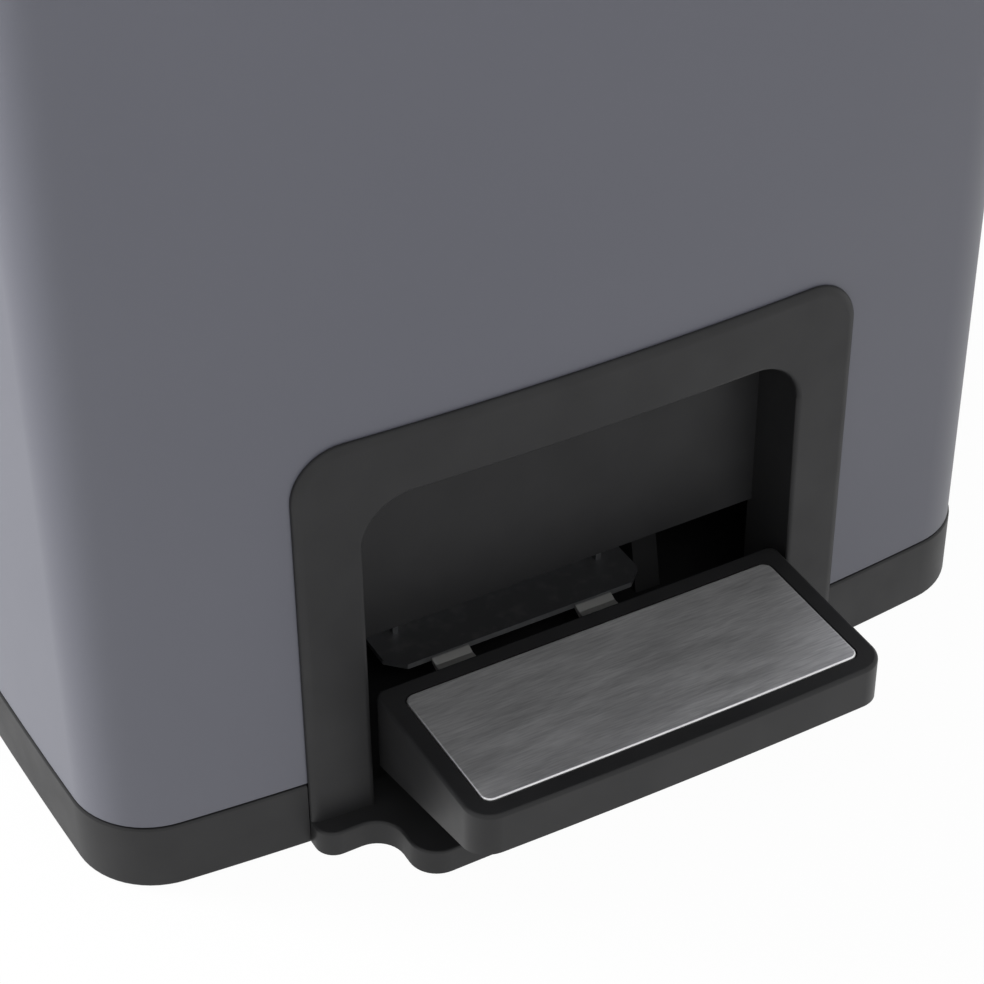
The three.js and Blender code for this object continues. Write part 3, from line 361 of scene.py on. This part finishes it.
def spin_round(piece):
    """Carries a section, which stands at the middle of the front, round the plan."""
    in_edit(piece)
    bpy.ops.mesh.select_all(action="SELECT")
    for (centre, swing), steps in zip(PLAN, PLAN_STEPS):
        bpy.ops.mesh.spin(
            steps=steps, angle=-swing, center=mm(centre.x, centre.y, 0), axis=(0, 0, 1))
    run = -mm(PLAN[-1][0].x)
    bpy.ops.mesh.extrude_region_move(TRANSFORM_OT_translate={"value": (run, 0, 0)})
    out_of_edit()
    modifier = piece.modifiers.new("other half", "MIRROR")
    modifier.use_axis = (True, False, False)
    modifier.merge_threshold = 1e-5
    bpy.ops.object.modifier_apply(modifier=modifier.name)
    clean(piece)


def section(name, outer, inner, low, high):
    """An upright strip at the middle of the front: its outline is what gets carried round."""
    deselect()
    bpy.ops.mesh.primitive_plane_add(
        size=1, location=mm(0, (outer + inner) / 2, (low + high) / 2), rotation=(0, QUARTER, 0))
    piece = bpy.context.object
    piece.name = name
    piece.scale = mm(high - low, inner - outer, 1)
    bpy.ops.object.transform_apply(location=True, rotation=True, scale=True)
    return piece


def ring(name, outer, inner, low, high, edge=0.0):
    """A wall that follows the plan, its outer edges rounded."""
    piece = section(name, outer, inner, low, high)
    if edge:
        bevel(piece, lambda p: p.y < outer + NEAR, edge, 4, "vertices")
    in_edit(piece, "FACE")
    bpy.ops.mesh.select_all(action="SELECT")
    bpy.ops.mesh.delete(type="ONLY_FACE")
    out_of_edit()
    spin_round(piece)
    return piece


def slab(name, inset, low, high):
    """A plate with the body's plan, both faces closed."""
    piece = section(name, inset, inset + 1, low, high)
    pick(piece, lambda p: p.y > inset + 0.5, "vertices")
    in_edit(piece, "VERT")
    bpy.ops.mesh.delete(type="VERT")
    out_of_edit()
    spin_round(piece)
    for level in (low, high):
        pick(piece, lambda p, z=level: abs(p.z - z) < NEAR)
        in_edit(piece)
        bpy.ops.mesh.edge_face_add()
        out_of_edit()
    clean(piece)
    return piece


# ---------------------------------------------------------------- finishes

NOISE_SPAN = (0.3, 0.7)        # the part of the noise's range that holds nearly all of it


def shader(name, color, roughness, metallic=0.0):
    material = bpy.data.materials.new(name)
    material.use_nodes = True
    surface = material.node_tree.nodes["Principled BSDF"]
    surface.inputs["Base Color"].default_value = (*color, 1)
    surface.inputs["Roughness"].default_value = roughness
    surface.inputs["Metallic"].default_value = metallic
    return material, material.node_tree, surface


def srgb(r, g, b):
    """A colour given as 0 to 255, as the linear values a shader takes."""
    return tuple(
        c / 12.92 if c <= 0.04045 else ((c + 0.055) / 1.055) ** 2.4
        for c in (r / 255, g / 255, b / 255))


def speckle(tree, scale, detail, stretch=(1, 1, 1)):
    """Noise on the piece's own coordinates, in features per metre."""
    place = tree.nodes.new("ShaderNodeTexCoord")
    mapping = tree.nodes.new("ShaderNodeMapping")
    mapping.inputs["Scale"].default_value = stretch
    noise = tree.nodes.new("ShaderNodeTexNoise")
    noise.inputs["Scale"].default_value = scale
    noise.inputs["Detail"].default_value = detail
    tree.links.new(place.outputs["Object"], mapping.inputs["Vector"])
    tree.links.new(mapping.outputs["Vector"], noise.inputs["Vector"])
    return noise.outputs["Fac"]


def remap(tree, field, start, end, low, high):
    """Turns a field that runs from start to end into one that runs from low to high."""
    span = tree.nodes.new("ShaderNodeMapRange")
    for name, value in (("From Min", start), ("From Max", end), ("To Min", low), ("To Max", high)):
        span.inputs[name].default_value = value
    tree.links.new(field, span.inputs["Value"])
    return span.outputs["Result"]


def coordinate(tree, space, axis):
    place = tree.nodes.new("ShaderNodeTexCoord")
    split = tree.nodes.new("ShaderNodeSeparateXYZ")
    tree.links.new(place.outputs[space], split.inputs[0])
    return split.outputs[axis]


def vary(tree, surface, field, socket, low, high):
    """Drives a number on the shader from a noise field, between two values."""
    driven = remap(tree, field, *NOISE_SPAN, low, high)
    tree.links.new(driven, surface.inputs[socket])


def tint(tree, surface, field, dark, light):
    """Lets the colour wander between two shades."""
    ramp = tree.nodes.new("ShaderNodeValToRGB")
    for stop, position, color in zip(ramp.color_ramp.elements, NOISE_SPAN, (dark, light)):
        stop.position = position
        stop.color = (*color, 1)
    tree.links.new(field, ramp.inputs["Fac"])
    tree.links.new(ramp.outputs["Color"], surface.inputs["Base Color"])


def relief(tree, surface, field, depth, strength):
    bump = tree.nodes.new("ShaderNodeBump")
    bump.inputs["Distance"].default_value = depth
    bump.inputs["Strength"].default_value = strength
    tree.links.new(field, bump.inputs["Height"])
    tree.links.new(bump.outputs["Normal"], surface.inputs["Normal"])


def painted_steel():
    """Satin grey paint: a faint orange peel and a slow drift of shade."""
    material, tree, surface = shader("satin_paint", srgb(88, 89, 98), 0.42)
    tint(tree, surface, speckle(tree, 5, 2), srgb(87, 88, 97), srgb(89, 90, 99))
    vary(tree, surface, speckle(tree, 9, 3), "Roughness", 0.4, 0.46)
    relief(tree, surface, speckle(tree, 700, 2), 0.00004, 0.12)
    return material


def moulded_black(name="moulded_black", shade=32, grain=0.25, roughness=(0.46, 0.56)):
    """Fine-grained black moulding."""
    material, tree, surface = shader(name, srgb(shade, shade, shade + 1), 0.5)
    surface.inputs["Specular IOR Level"].default_value = 0.32
    darker = srgb(shade - 2, shade - 2, shade - 1)
    lighter = srgb(shade + 2, shade + 2, shade + 3)
    tint(tree, surface, speckle(tree, 60, 6), darker, lighter)
    vary(tree, surface, speckle(tree, 40, 4), "Roughness", *roughness)
    relief(tree, surface, speckle(tree, 2600, 3), 0.00008, grain)
    return material


def brushed_steel():
    """Short fine scratches along X, over a faint cloudiness."""
    material, tree, surface = shader("brushed_steel", srgb(226, 226, 227), 0.38, 0.9)
    fine = speckle(tree, 150, 8, (0.8, 9, 9))
    tint(tree, surface, fine, srgb(208, 208, 210), srgb(240, 240, 241))
    broad = speckle(tree, 45, 5, (0.7, 3, 3))
    vary(tree, surface, broad, "Roughness", 0.36, 0.44)
    relief(tree, surface, fine, 0.00003, 0.25)
    return material


def zinc_plate():
    material, tree, surface = shader("zinc_plate", srgb(140, 141, 144), 0.45, 0.8)
    tint(tree, surface, speckle(tree, 160, 5), srgb(134, 135, 138), srgb(146, 147, 150))
    vary(tree, surface, speckle(tree, 120, 4), "Roughness", 0.34, 0.5)
    relief(tree, surface, speckle(tree, 900, 3), 0.00003, 0.2)
    return material


def lever_zinc_painted_light():
    """Zinc painted darker on the strip as painted shade, and lighter on the two tabs that the
    pedal slides over as a painted highlight, where they catch the light.
    """
    tip = min(corner[1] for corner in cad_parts["pedal_lever"].bound_box)
    border = tip + mm(TAB_REACH)
    material, tree, surface = shader("lever_zinc_painted_light", srgb(140, 141, 144), 0.45, 0.8)
    fade = mm(0.4)
    depth = coordinate(tree, "Object", "Y")
    # painted highlight on the tabs in front of this depth, painted shade on the strip behind it
    tabs = remap(tree, depth, border + fade, border - fade, 0.2, 0.6)
    mixed = tree.nodes.new("ShaderNodeMath")
    mixed.operation = "MULTIPLY_ADD"
    mixed.inputs[1].default_value = 0.2
    tree.links.new(speckle(tree, 160, 5), mixed.inputs[0])
    tree.links.new(tabs, mixed.inputs[2])
    # the dark shade is painted shade on the strip, the light one a painted highlight on the tabs
    tint(tree, surface, mixed.outputs[0], srgb(126, 127, 130), srgb(216, 216, 214))
    relief(tree, surface, speckle(tree, 900, 3), 0.00003, 0.2)
    return material


def natural_nylon():
    material, tree, surface = shader("natural_nylon", srgb(216, 213, 205), 0.5)
    tint(tree, surface, speckle(tree, 90, 3), srgb(210, 207, 198), srgb(221, 219, 212))
    vary(tree, surface, speckle(tree, 60, 3), "Roughness", 0.45, 0.56)
    relief(tree, surface, speckle(tree, 1500, 2), 0.00004, 0.15)
    surface.inputs["Subsurface Weight"].default_value = 0.05
    return material


def foot_rubber():
    material, tree, surface = shader("foot_rubber", srgb(28, 28, 29), 0.85)
    tint(tree, surface, speckle(tree, 150, 5), srgb(24, 24, 25), srgb(36, 36, 37))
    vary(tree, surface, speckle(tree, 90, 4), "Roughness", 0.78, 0.92)
    relief(tree, surface, speckle(tree, 1800, 3), 0.0001, 0.4)
    return material


# ---------------------------------------------------------------- body pieces

def steel_body(material):
    top = COLLAR_TOP - COLLAR_HEIGHT - SEAT_GAP
    piece = ring("body_wrap", 0, STEEL_WALL, STEEL_BOTTOM, top, STEEL_EDGE)
    clear = RECESS_WALL + 1
    opening = arch_block(
        "opening", RECESS_HALF + clear, RECESS_TOP + clear, ARCH_RADIUS + clear, -40, 80)
    return settle(cut(piece, opening), "body", material, ["steel_wrap"])


def base_moulding(material):
    lip = STEEL_WALL + SEAT_GAP
    bay_half, bay_rear = SURROUND_HALF + SEAT_GAP, TONGUE_REAR + SEAT_GAP
    skirt = ring("skirt", -BASE_PROUD, BASE_WALL, FLOOR, BASE_TOP, BASE_EDGE)
    upstand = ring("upstand", lip, lip + RECESS_WALL, BASE_TOP - 1, PLATFORM - SEAT_GAP)
    floor = slab("floor", BASE_WALL - 1, FLOOR + 0.1, FLOOR + BASE_FLOOR)
    parts = []
    for part in (skirt, upstand, floor):
        gap = block("bay", (-bay_half, -80, -10), (bay_half, bay_rear, PLATFORM + 10))
        parts.append(cut(part, gap))
    foot, head = FLOOR + BASE_FLOOR - 1, PLATFORM - SEAT_GAP
    for x in (-POST_X, POST_X):
        for y in (POST_INSET, BODY_DEPTH - POST_INSET):
            parts.append(block("post", (x - POST_HALF, y - POST_HALF, foot),
                               (x + POST_HALF, y + POST_HALF, head)))
    piece = gather("base_moulding", *parts)
    return settle(piece, "body", material, ["base_tray"])


def arch_block(name, half, top, radius, front, rear, foot=-10):
    """A block with its two upper corners rounded, seen from the front."""
    piece = block(name, (-half, front, foot), (half, rear, top))
    bevel_along(piece, 1, lambda p: p.z > top - NEAR, radius, 18)
    return piece


def slice_across(piece, count):
    """Cuts a piece into upright slices, so that it can follow a bow."""
    in_edit(piece, "FACE")
    for i in range(-count, count + 1):
        bpy.ops.mesh.select_all(action="SELECT")
        x = i * SLICE_PITCH + SLICE_SHIFT
        bpy.ops.mesh.bisect(plane_co=mm(x, 0, 0), plane_no=(1, 0, 0))
    out_of_edit()


def slide(piece, y):
    in_edit(piece, "VERT")
    bpy.ops.mesh.select_all(action="SELECT")
    bpy.ops.transform.translate(value=mm(0, y, 0))
    out_of_edit()


def bend_front(piece, radius, front, wanted):
    """Bends the points that pass a test onto an upright cylinder that touches y = front."""
    group = piece.vertex_groups.new(name="front")
    group.add([v.index for v in piece.data.vertices if wanted(v.co * 1000)], 1, "REPLACE")
    across = [v.co.x for v in piece.data.vertices]
    slide(piece, -front)
    modifier = piece.modifiers.new("bow", "SIMPLE_DEFORM")
    modifier.deform_method = "BEND"
    modifier.deform_axis = "Z"
    modifier.angle = (max(across) - min(across)) / mm(radius)
    modifier.vertex_group = group.name
    bpy.ops.object.modifier_apply(modifier=modifier.name)
    piece.vertex_groups.clear()
    slide(piece, front)


def pedal_surround(material):
    """Flange, recess and floor tongue in one moulding."""
    front = -SURROUND_EDGE - SEAT_GAP
    swell = (SURROUND_PROUD - SEAT_GAP) / -front
    flange = arch_block("flange", SURROUND_HALF, SURROUND_TOP, ARCH_RADIUS, front, 0, FLOOR)
    bevel(flange, lambda p: p.y < front + NEAR and (
        abs(p.z - FLOOR) >= NEAR or abs(p.x) > SURROUND_HALF - NEAR), SURROUND_EDGE, 7)
    in_edit(flange, "VERT")
    bpy.ops.mesh.select_all(action="SELECT")
    bpy.ops.transform.resize(value=(1, swell, 1), center_override=(0, 0, 0))
    bpy.ops.transform.translate(value=mm(0, -SEAT_GAP, 0))
    out_of_edit()
    box = arch_block("recess", RECESS_HALF + RECESS_WALL, RECESS_TOP + RECESS_WALL,
                     ARCH_RADIUS + RECESS_WALL, -RECESS_OVERLAP, RECESS_DEPTH + RECESS_WALL, FLOOR)
    piece = join(flange, box)
    hollow = arch_block("hollow", RECESS_HALF, RECESS_TOP, ARCH_RADIUS, -20, RECESS_DEPTH)
    piece = cut(piece, hollow)
    piece = cut(piece, block("way", (-RECESS_HALF, 20, -20), (RECESS_HALF, 60, PLATFORM)))
    bevel(piece, lambda p: abs(p.y + SURROUND_PROUD) < CLOSE and abs(p.x) < RECESS_HALF + CLOSE
          and p.z < RECESS_TOP + CLOSE, RECESS_EDGE, 5)
    slice_across(piece, 9)
    bend_front(piece, FRONT_RADIUS, 0, lambda p: p.y < RECESS_DEPTH / 2)
    piece = join(piece, tongue())
    clean(piece)
    piece.name = "surround_moulding"
    return settle(piece, "body", material, ["pedal_surround"])


def tongue():
    """The foot in front of the recess: a long middle, and a low lobe on each side."""
    low, high = FLOOR, TONGUE_TOP
    piece = block("tongue", (-TONGUE_HALF, -TONGUE_REACH, low), (TONGUE_HALF, TONGUE_REAR, high))
    bevel_along(piece, 2, lambda p: p.y < NEAR - TONGUE_REACH, TONGUE_RADIUS, 12)
    lobes = block("lobes", (-SURROUND_HALF, -LOBE_REACH, low), (SURROUND_HALF, TONGUE_REAR, high))
    bevel_along(lobes, 2, lambda p: p.y < NEAR - LOBE_REACH, LOBE_REACH, 8)
    piece = join(piece, lobes)
    bevel_along(piece, 2, lambda p: abs(abs(p.x) - TONGUE_HALF) < CLOSE
                and abs(p.y + LOBE_REACH) < CLOSE, TONGUE_RADIUS, 10)
    bevel_rim(piece, high, TONGUE_EDGE, 4, lambda p: p.y < TONGUE_REAR - 0.1)
    piece = cut(piece, block("well", (-WELL_HALF, 0, high - WELL_DEPTH),
                             (WELL_HALF, TONGUE_REAR + 5, high + 5)))
    inner = TONGUE_HALF - TONGUE_RADIUS - TONGUE_WALL
    piece = cut(piece, block("hollow", (-inner, TONGUE_WALL - TONGUE_REACH, low - 2),
                             (inner, TONGUE_REAR - TONGUE_WALL, high - TONGUE_WALL)))
    for side in (-1, 1):
        piece = cut(piece, rod("relief", SCREW_HEAD + SCREW_RELIEF, side * SCREW_X, SCREW_Y,
                               high - SCREW_RELIEF_DEPTH, high + 1, 48))
    return piece


# ---------------------------------------------------------------- pedal

def pedal_block(name, inset, low, high):
    """The pedal's plan as a block, drawn in by inset, its front edge gently bowed."""
    half = PEDAL_HALF - inset
    front = PEDAL_FRONT + inset
    rear = PEDAL_REAR - inset
    piece = block(name, (-half, front, low), (half, rear, high))
    bevel_along(piece, 2, lambda p: p.y < front + NEAR, max(PEDAL_CORNER - inset, 2), 14)
    bevel_along(piece, 2, lambda p: p.y > rear - NEAR, max(PEDAL_REAR_CORNER - inset, 0.8), 8)
    slice_across(piece, 6)
    bow = PEDAL_HALF ** 2 / (2 * PEDAL_BOW)
    bend_front(piece, bow, front, lambda p: p.y < front + PEDAL_CORNER + 1)
    return piece


def plate_block(name, grow, low, high):
    """The plan of the steel plate as a block."""
    half = PLATE_HALF + grow
    front, rear = PLATE_FRONT - grow, PLATE_REAR + grow
    piece = block(name, (-half, front, low), (half, rear, high))
    bevel_along(piece, 2, anywhere, PLATE_CORNER + grow, 8)
    slice_across(piece, 6)
    bow = PEDAL_HALF ** 2 / PEDAL_BOW
    bend_front(piece, bow, front, lambda p: p.y < front + PLATE_CORNER + 1)
    return piece


def skirt_bottom(y):
    """Height of the skirt's sloping lower edge."""
    along = (y - PEDAL_FRONT) / (PEDAL_REAR - PEDAL_FRONT)
    return PEDAL_SKIRT_FRONT + (PEDAL_SKIRT_REAR - PEDAL_SKIRT_FRONT) * along


def pedal_moulding(material):
    low = PEDAL_SKIRT_REAR - 1
    piece = pedal_block("pedal_moulding", 0, low, PEDAL_TOP)
    bevel_rim(piece, PEDAL_TOP, PEDAL_EDGE, 5)
    ceiling = PEDAL_TOP - PLATE_THICKNESS - PEDAL_WALL
    piece = cut(piece, pedal_block("hollow", PEDAL_WALL, low - 5, ceiling))
    pocket = PEDAL_TOP + PLATE_PROUD - PLATE_THICKNESS - SEAT_GAP
    piece = cut(piece, plate_block("pocket", PLATE_GAP, pocket, PEDAL_TOP + 5))
    foot = skirt_bottom(SCREW_Y) + LEVER_THICKNESS + 2 * LEVER_LIFT
    for side in (-1, 1):
        piece = join(piece, screw_boss(side * SCREW_X, SCREW_Y, foot, ceiling + 0.5))
    under = block("under", (-120, -100, -10), (120, 30, 0))
    for y in (-100, 30):
        pick(under, lambda p: p.z > -NEAR and abs(p.y - y) < NEAR, "vertices")
        in_edit(under, "VERT")
        bpy.ops.transform.translate(value=mm(0, 0, skirt_bottom(y)))
        out_of_edit()
    piece = cut(piece, under)
    lever_top = skirt_bottom(0) + LEVER_LIFT + LEVER_THICKNESS
    piece = cut(piece, block("rear_pass", (-LEVER_HALF - 1, PEDAL_REAR - PEDAL_WALL - 1, low - 5),
                             (LEVER_HALF + 1, PEDAL_REAR + 5, lever_top + 1)))
    return settle(piece, "pedal", material, ["pedal_body"])


def rod(name, radius, x, y, low, high, sides):
    """An upright round bar."""
    deselect()
    bpy.ops.mesh.primitive_cylinder_add(
        vertices=sides, radius=mm(radius), depth=mm(high - low),
        location=mm(x, y, (low + high) / 2))
    piece = bpy.context.object
    piece.name = name
    bpy.ops.object.transform_apply(location=True, rotation=True, scale=True)
    return piece


def screw_boss(x, y, low, high):
    bore = rod("bore", SCREW_BORE, x, y, low - 1, high - SCREW_CAP, 32)
    return cut(rod("boss", SCREW_BOSS, x, y, low, high, 40), bore)


def pedal_plate(material):
    top = PEDAL_TOP + PLATE_PROUD
    piece = plate_block("pedal_plate_sheet", 0, top - PLATE_THICKNESS, top)
    bevel_rim(piece, top, PLATE_EDGE, 6)
    return settle(piece, "pedal", material, ["pedal_plate"])


# ---------------------------------------------------------------- lid and buckets

def lid_skin(material):
    seat = LID_BOTTOM + LID_BAND + SEAT_GAP
    piece = slab("lid_skin", LID_INSET, seat, LID_TOP)
    bevel_rim(piece, LID_TOP, LID_EDGE, 10)
    inside = slab("inside", LID_INSET + PANEL_WALL, LID_BOTTOM, LID_TOP - PANEL_WALL)
    bevel_rim(inside, LID_TOP - PANEL_WALL, LID_EDGE - PANEL_WALL, 10)
    return settle(cut(piece, inside), "lid", material, ["lid_panel"])


def drafted(name, side, inset, low, high):
    """A tapered block with round corners, narrower at its foot."""
    x0, x1 = sorted((side * (BUCKET_INNER + inset), side * (BUCKET_OUTER - inset)))
    y0, y1 = BUCKET_FRONT + inset, BUCKET_REAR - inset
    piece = block(name, (x0, y0, low), (x1, y1, high))
    pick(piece, lambda p: p.z < low + NEAR, "vertices")
    in_edit(piece, "VERT")
    middle = ((x0 + x1) / 2, (y0 + y1) / 2)
    shrink = (1 - 2 * BUCKET_DRAFT / (x1 - x0), 1 - 2 * BUCKET_DRAFT / (y1 - y0), 1)
    bpy.ops.transform.resize(value=shrink, center_override=mm(*middle, low))
    out_of_edit()
    pick(piece, anywhere)
    for edge in piece.data.edges:
        a, b = (piece.data.vertices[i].co for i in edge.vertices)
        edge.select = abs(a.z - b.z) > 1e-3
    bevel_picked(piece, BUCKET_CORNER - inset / 2, 12)
    return piece


def bucket(side, material):
    name, body = ("bucket_right", "right_bucket") if side > 0 else ("bucket_left", "left_bucket")
    low, high = BUCKET_FLOOR, BUCKET_TOP
    piece = drafted(name + "_tub", side, BUCKET_RIM, low, high)
    bevel_rim(piece, low, BUCKET_FOOT_EDGE, 8)
    inside = drafted("inside", side, BUCKET_RIM + BUCKET_WALL, low + BUCKET_WALL, high + 1)
    bevel_rim(inside, low + BUCKET_WALL, BUCKET_FOOT_EDGE - 1, 8)
    x0, x1 = sorted((side * BUCKET_INNER, side * BUCKET_OUTER))
    rim = block("rim", (x0, BUCKET_FRONT, high - BUCKET_RIM_DROP), (x1, BUCKET_REAR, high))
    bevel_along(rim, 2, anywhere, BUCKET_CORNER, 12)
    bevel_rim(rim, high, BUCKET_RIM_EDGE, 4)
    wall = BUCKET_WALL
    under = block("under", (x0 + wall, BUCKET_FRONT + wall, high - BUCKET_RIM_DROP - 1),
                  (x1 - wall, BUCKET_REAR - wall, high - wall))
    bevel_along(under, 2, anywhere, BUCKET_CORNER - wall, 12)
    piece = cut(join(piece, cut(rim, under)), inside)
    return settle(piece, body, material, [name])


# ---------------------------------------------------------------- the solids that stay

def dress_solids(looks):
    """Gives each solid that no piece replaces the finish of its kind."""
    for name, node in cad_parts.items():
        if node.hide_render:
            continue
        finish = next(look for start, look in looks if name.startswith(start))
        for material_slot in node.material_slots:
            material_slot.material = finish


# ---------------------------------------------------------------- studio

def seen_directly(tree):
    """1 on rays from the camera, off a shiny face or through glass, and 0 on all others."""
    path = tree.nodes.new("ShaderNodeLightPath")
    fact = path.outputs["Is Camera Ray"]
    for name in ("Is Glossy Ray", "Is Transmission Ray"):
        either = tree.nodes.new("ShaderNodeMath")
        either.operation = "MAXIMUM"
        tree.links.new(fact, either.inputs[0])
        tree.links.new(path.outputs[name], either.inputs[1])
        fact = either.outputs[0]
    return fact


def blend_shaders(tree, share, first, second, output):
    """Shows the second shader in the given share, and the first in the rest."""
    blend = tree.nodes.new("ShaderNodeMixShader")
    for source, target in zip((share, first, second), blend.inputs):
        tree.links.new(source, target)
    tree.links.new(blend.outputs[0], tree.nodes[output].inputs["Surface"])


def white_room():
    """An even white room that lights the object less from the right."""
    world = bpy.data.worlds.new("white_room")
    bpy.context.scene.world = world
    world.use_nodes = True
    tree = world.node_tree
    lit = tree.nodes["Background"]
    lit.inputs["Color"].default_value = (1, 1, 1, 1)
    heading = coordinate(tree, "Generated", "X")
    level = remap(tree, heading, 0, 1, ROOM_LIGHT, ROOM_LIGHT * ROOM_RIGHT_SHARE)
    tree.links.new(level, lit.inputs["Strength"])
    seen = tree.nodes.new("ShaderNodeBackground")
    seen.inputs["Strength"].default_value = 1
    seen.inputs["Color"].default_value = (1, 1, 1, 1)
    blend_shaders(tree, seen_directly(tree), lit.outputs[0], seen.outputs[0], "World Output")


def studio_floor():
    deselect()
    bpy.ops.mesh.primitive_plane_add(size=FLOOR_SIZE, location=(0, 0, -FLOOR_DROP))
    floor = bpy.context.object
    floor.name = "studio_floor"
    material, tree, surface = shader("white_floor", (0.82, 0.82, 0.82), 0.9)
    glow = tree.nodes.new("ShaderNodeEmission")
    glow.inputs["Color"].default_value = (1, 1, 1, 1)
    share = tree.nodes.new("ShaderNodeMath")
    share.operation = "MULTIPLY"
    share.inputs[1].default_value = FLOOR_GLOW
    tree.links.new(seen_directly(tree), share.inputs[0])
    blend_shaders(tree, share.outputs[0], surface.outputs[0], glow.outputs[0], "Material Output")
    floor.data.materials.append(material)


def softbox(name, place, target, size, power):
    """A soft lamp that shiny faces don't mirror."""
    deselect()
    bpy.ops.object.light_add(type="AREA", location=place)
    lamp = bpy.context.object
    lamp.name = name
    lamp.data.shape = "RECTANGLE"
    lamp.data.size, lamp.data.size_y = size
    lamp.data.energy = power
    aim = Vector(target) - Vector(place)
    lamp.rotation_euler = aim.to_track_quat("-Z", "Y").to_euler()
    lamp.visible_glossy = False


def photo_camera():
    """The photo's own viewpoint, found from the edges of the body."""
    yaw, pitch, roll = map(math.radians, (CAMERA_YAW, CAMERA_PITCH, CAMERA_ROLL))
    level_run = math.cos(pitch)
    ahead = Vector((math.sin(yaw) * level_run, math.cos(yaw) * level_run, -math.sin(pitch)))
    level = Vector((math.cos(yaw), -math.sin(yaw), 0))
    up = level.cross(ahead)
    right = math.cos(roll) * level + math.sin(roll) * up
    upward = math.cos(roll) * up - math.sin(roll) * level
    deselect()
    bpy.ops.object.camera_add(location=CAMERA_PLACE)
    camera = bpy.context.object
    camera.name = "photo_camera"
    camera.data.lens = CAMERA_LENS
    camera.data.sensor_width = CAMERA_SENSOR
    camera.data.clip_start = CAMERA_NEAR
    turn = Matrix((right, upward, -ahead)).transposed()
    camera.rotation_euler = turn.to_euler()
    bpy.context.scene.camera = camera
    bpy.context.scene.view_settings.view_transform = "Standard"


# ---------------------------------------------------------------- the bin

paint = painted_steel()
black = moulded_black()
black_fine = moulded_black("moulded_black_fine", 28, 0.15, (0.4, 0.48))
zinc = zinc_plate()
nylon = natural_nylon()
rubber = foot_rubber()

steel_body(paint)
base_moulding(black)
pedal_surround(black)
pedal_moulding(black_fine)
pedal_plate(brushed_steel())
lid_skin(paint)
for side in (-1, 1):
    bucket(side, black)

dress_solids([
    ("foot_", rubber),
    ("lid_bumper", rubber),
    ("push_rod_foot", nylon),
    ("rod_guide", nylon),
    ("damper_shelf", nylon),
    ("damper_clip", nylon),
    ("push_rod", zinc),
    ("damper_", zinc),
    ("pedal_lever", lever_zinc_painted_light()),
    ("pedal_screw", zinc),
    ("pivot_pin", zinc),
    ("hinge_pin", zinc),
    ("", black),
])

white_room()
studio_floor()
for lamp_sizes in LAMPS:
    softbox(*lamp_sizes)
photo_camera()
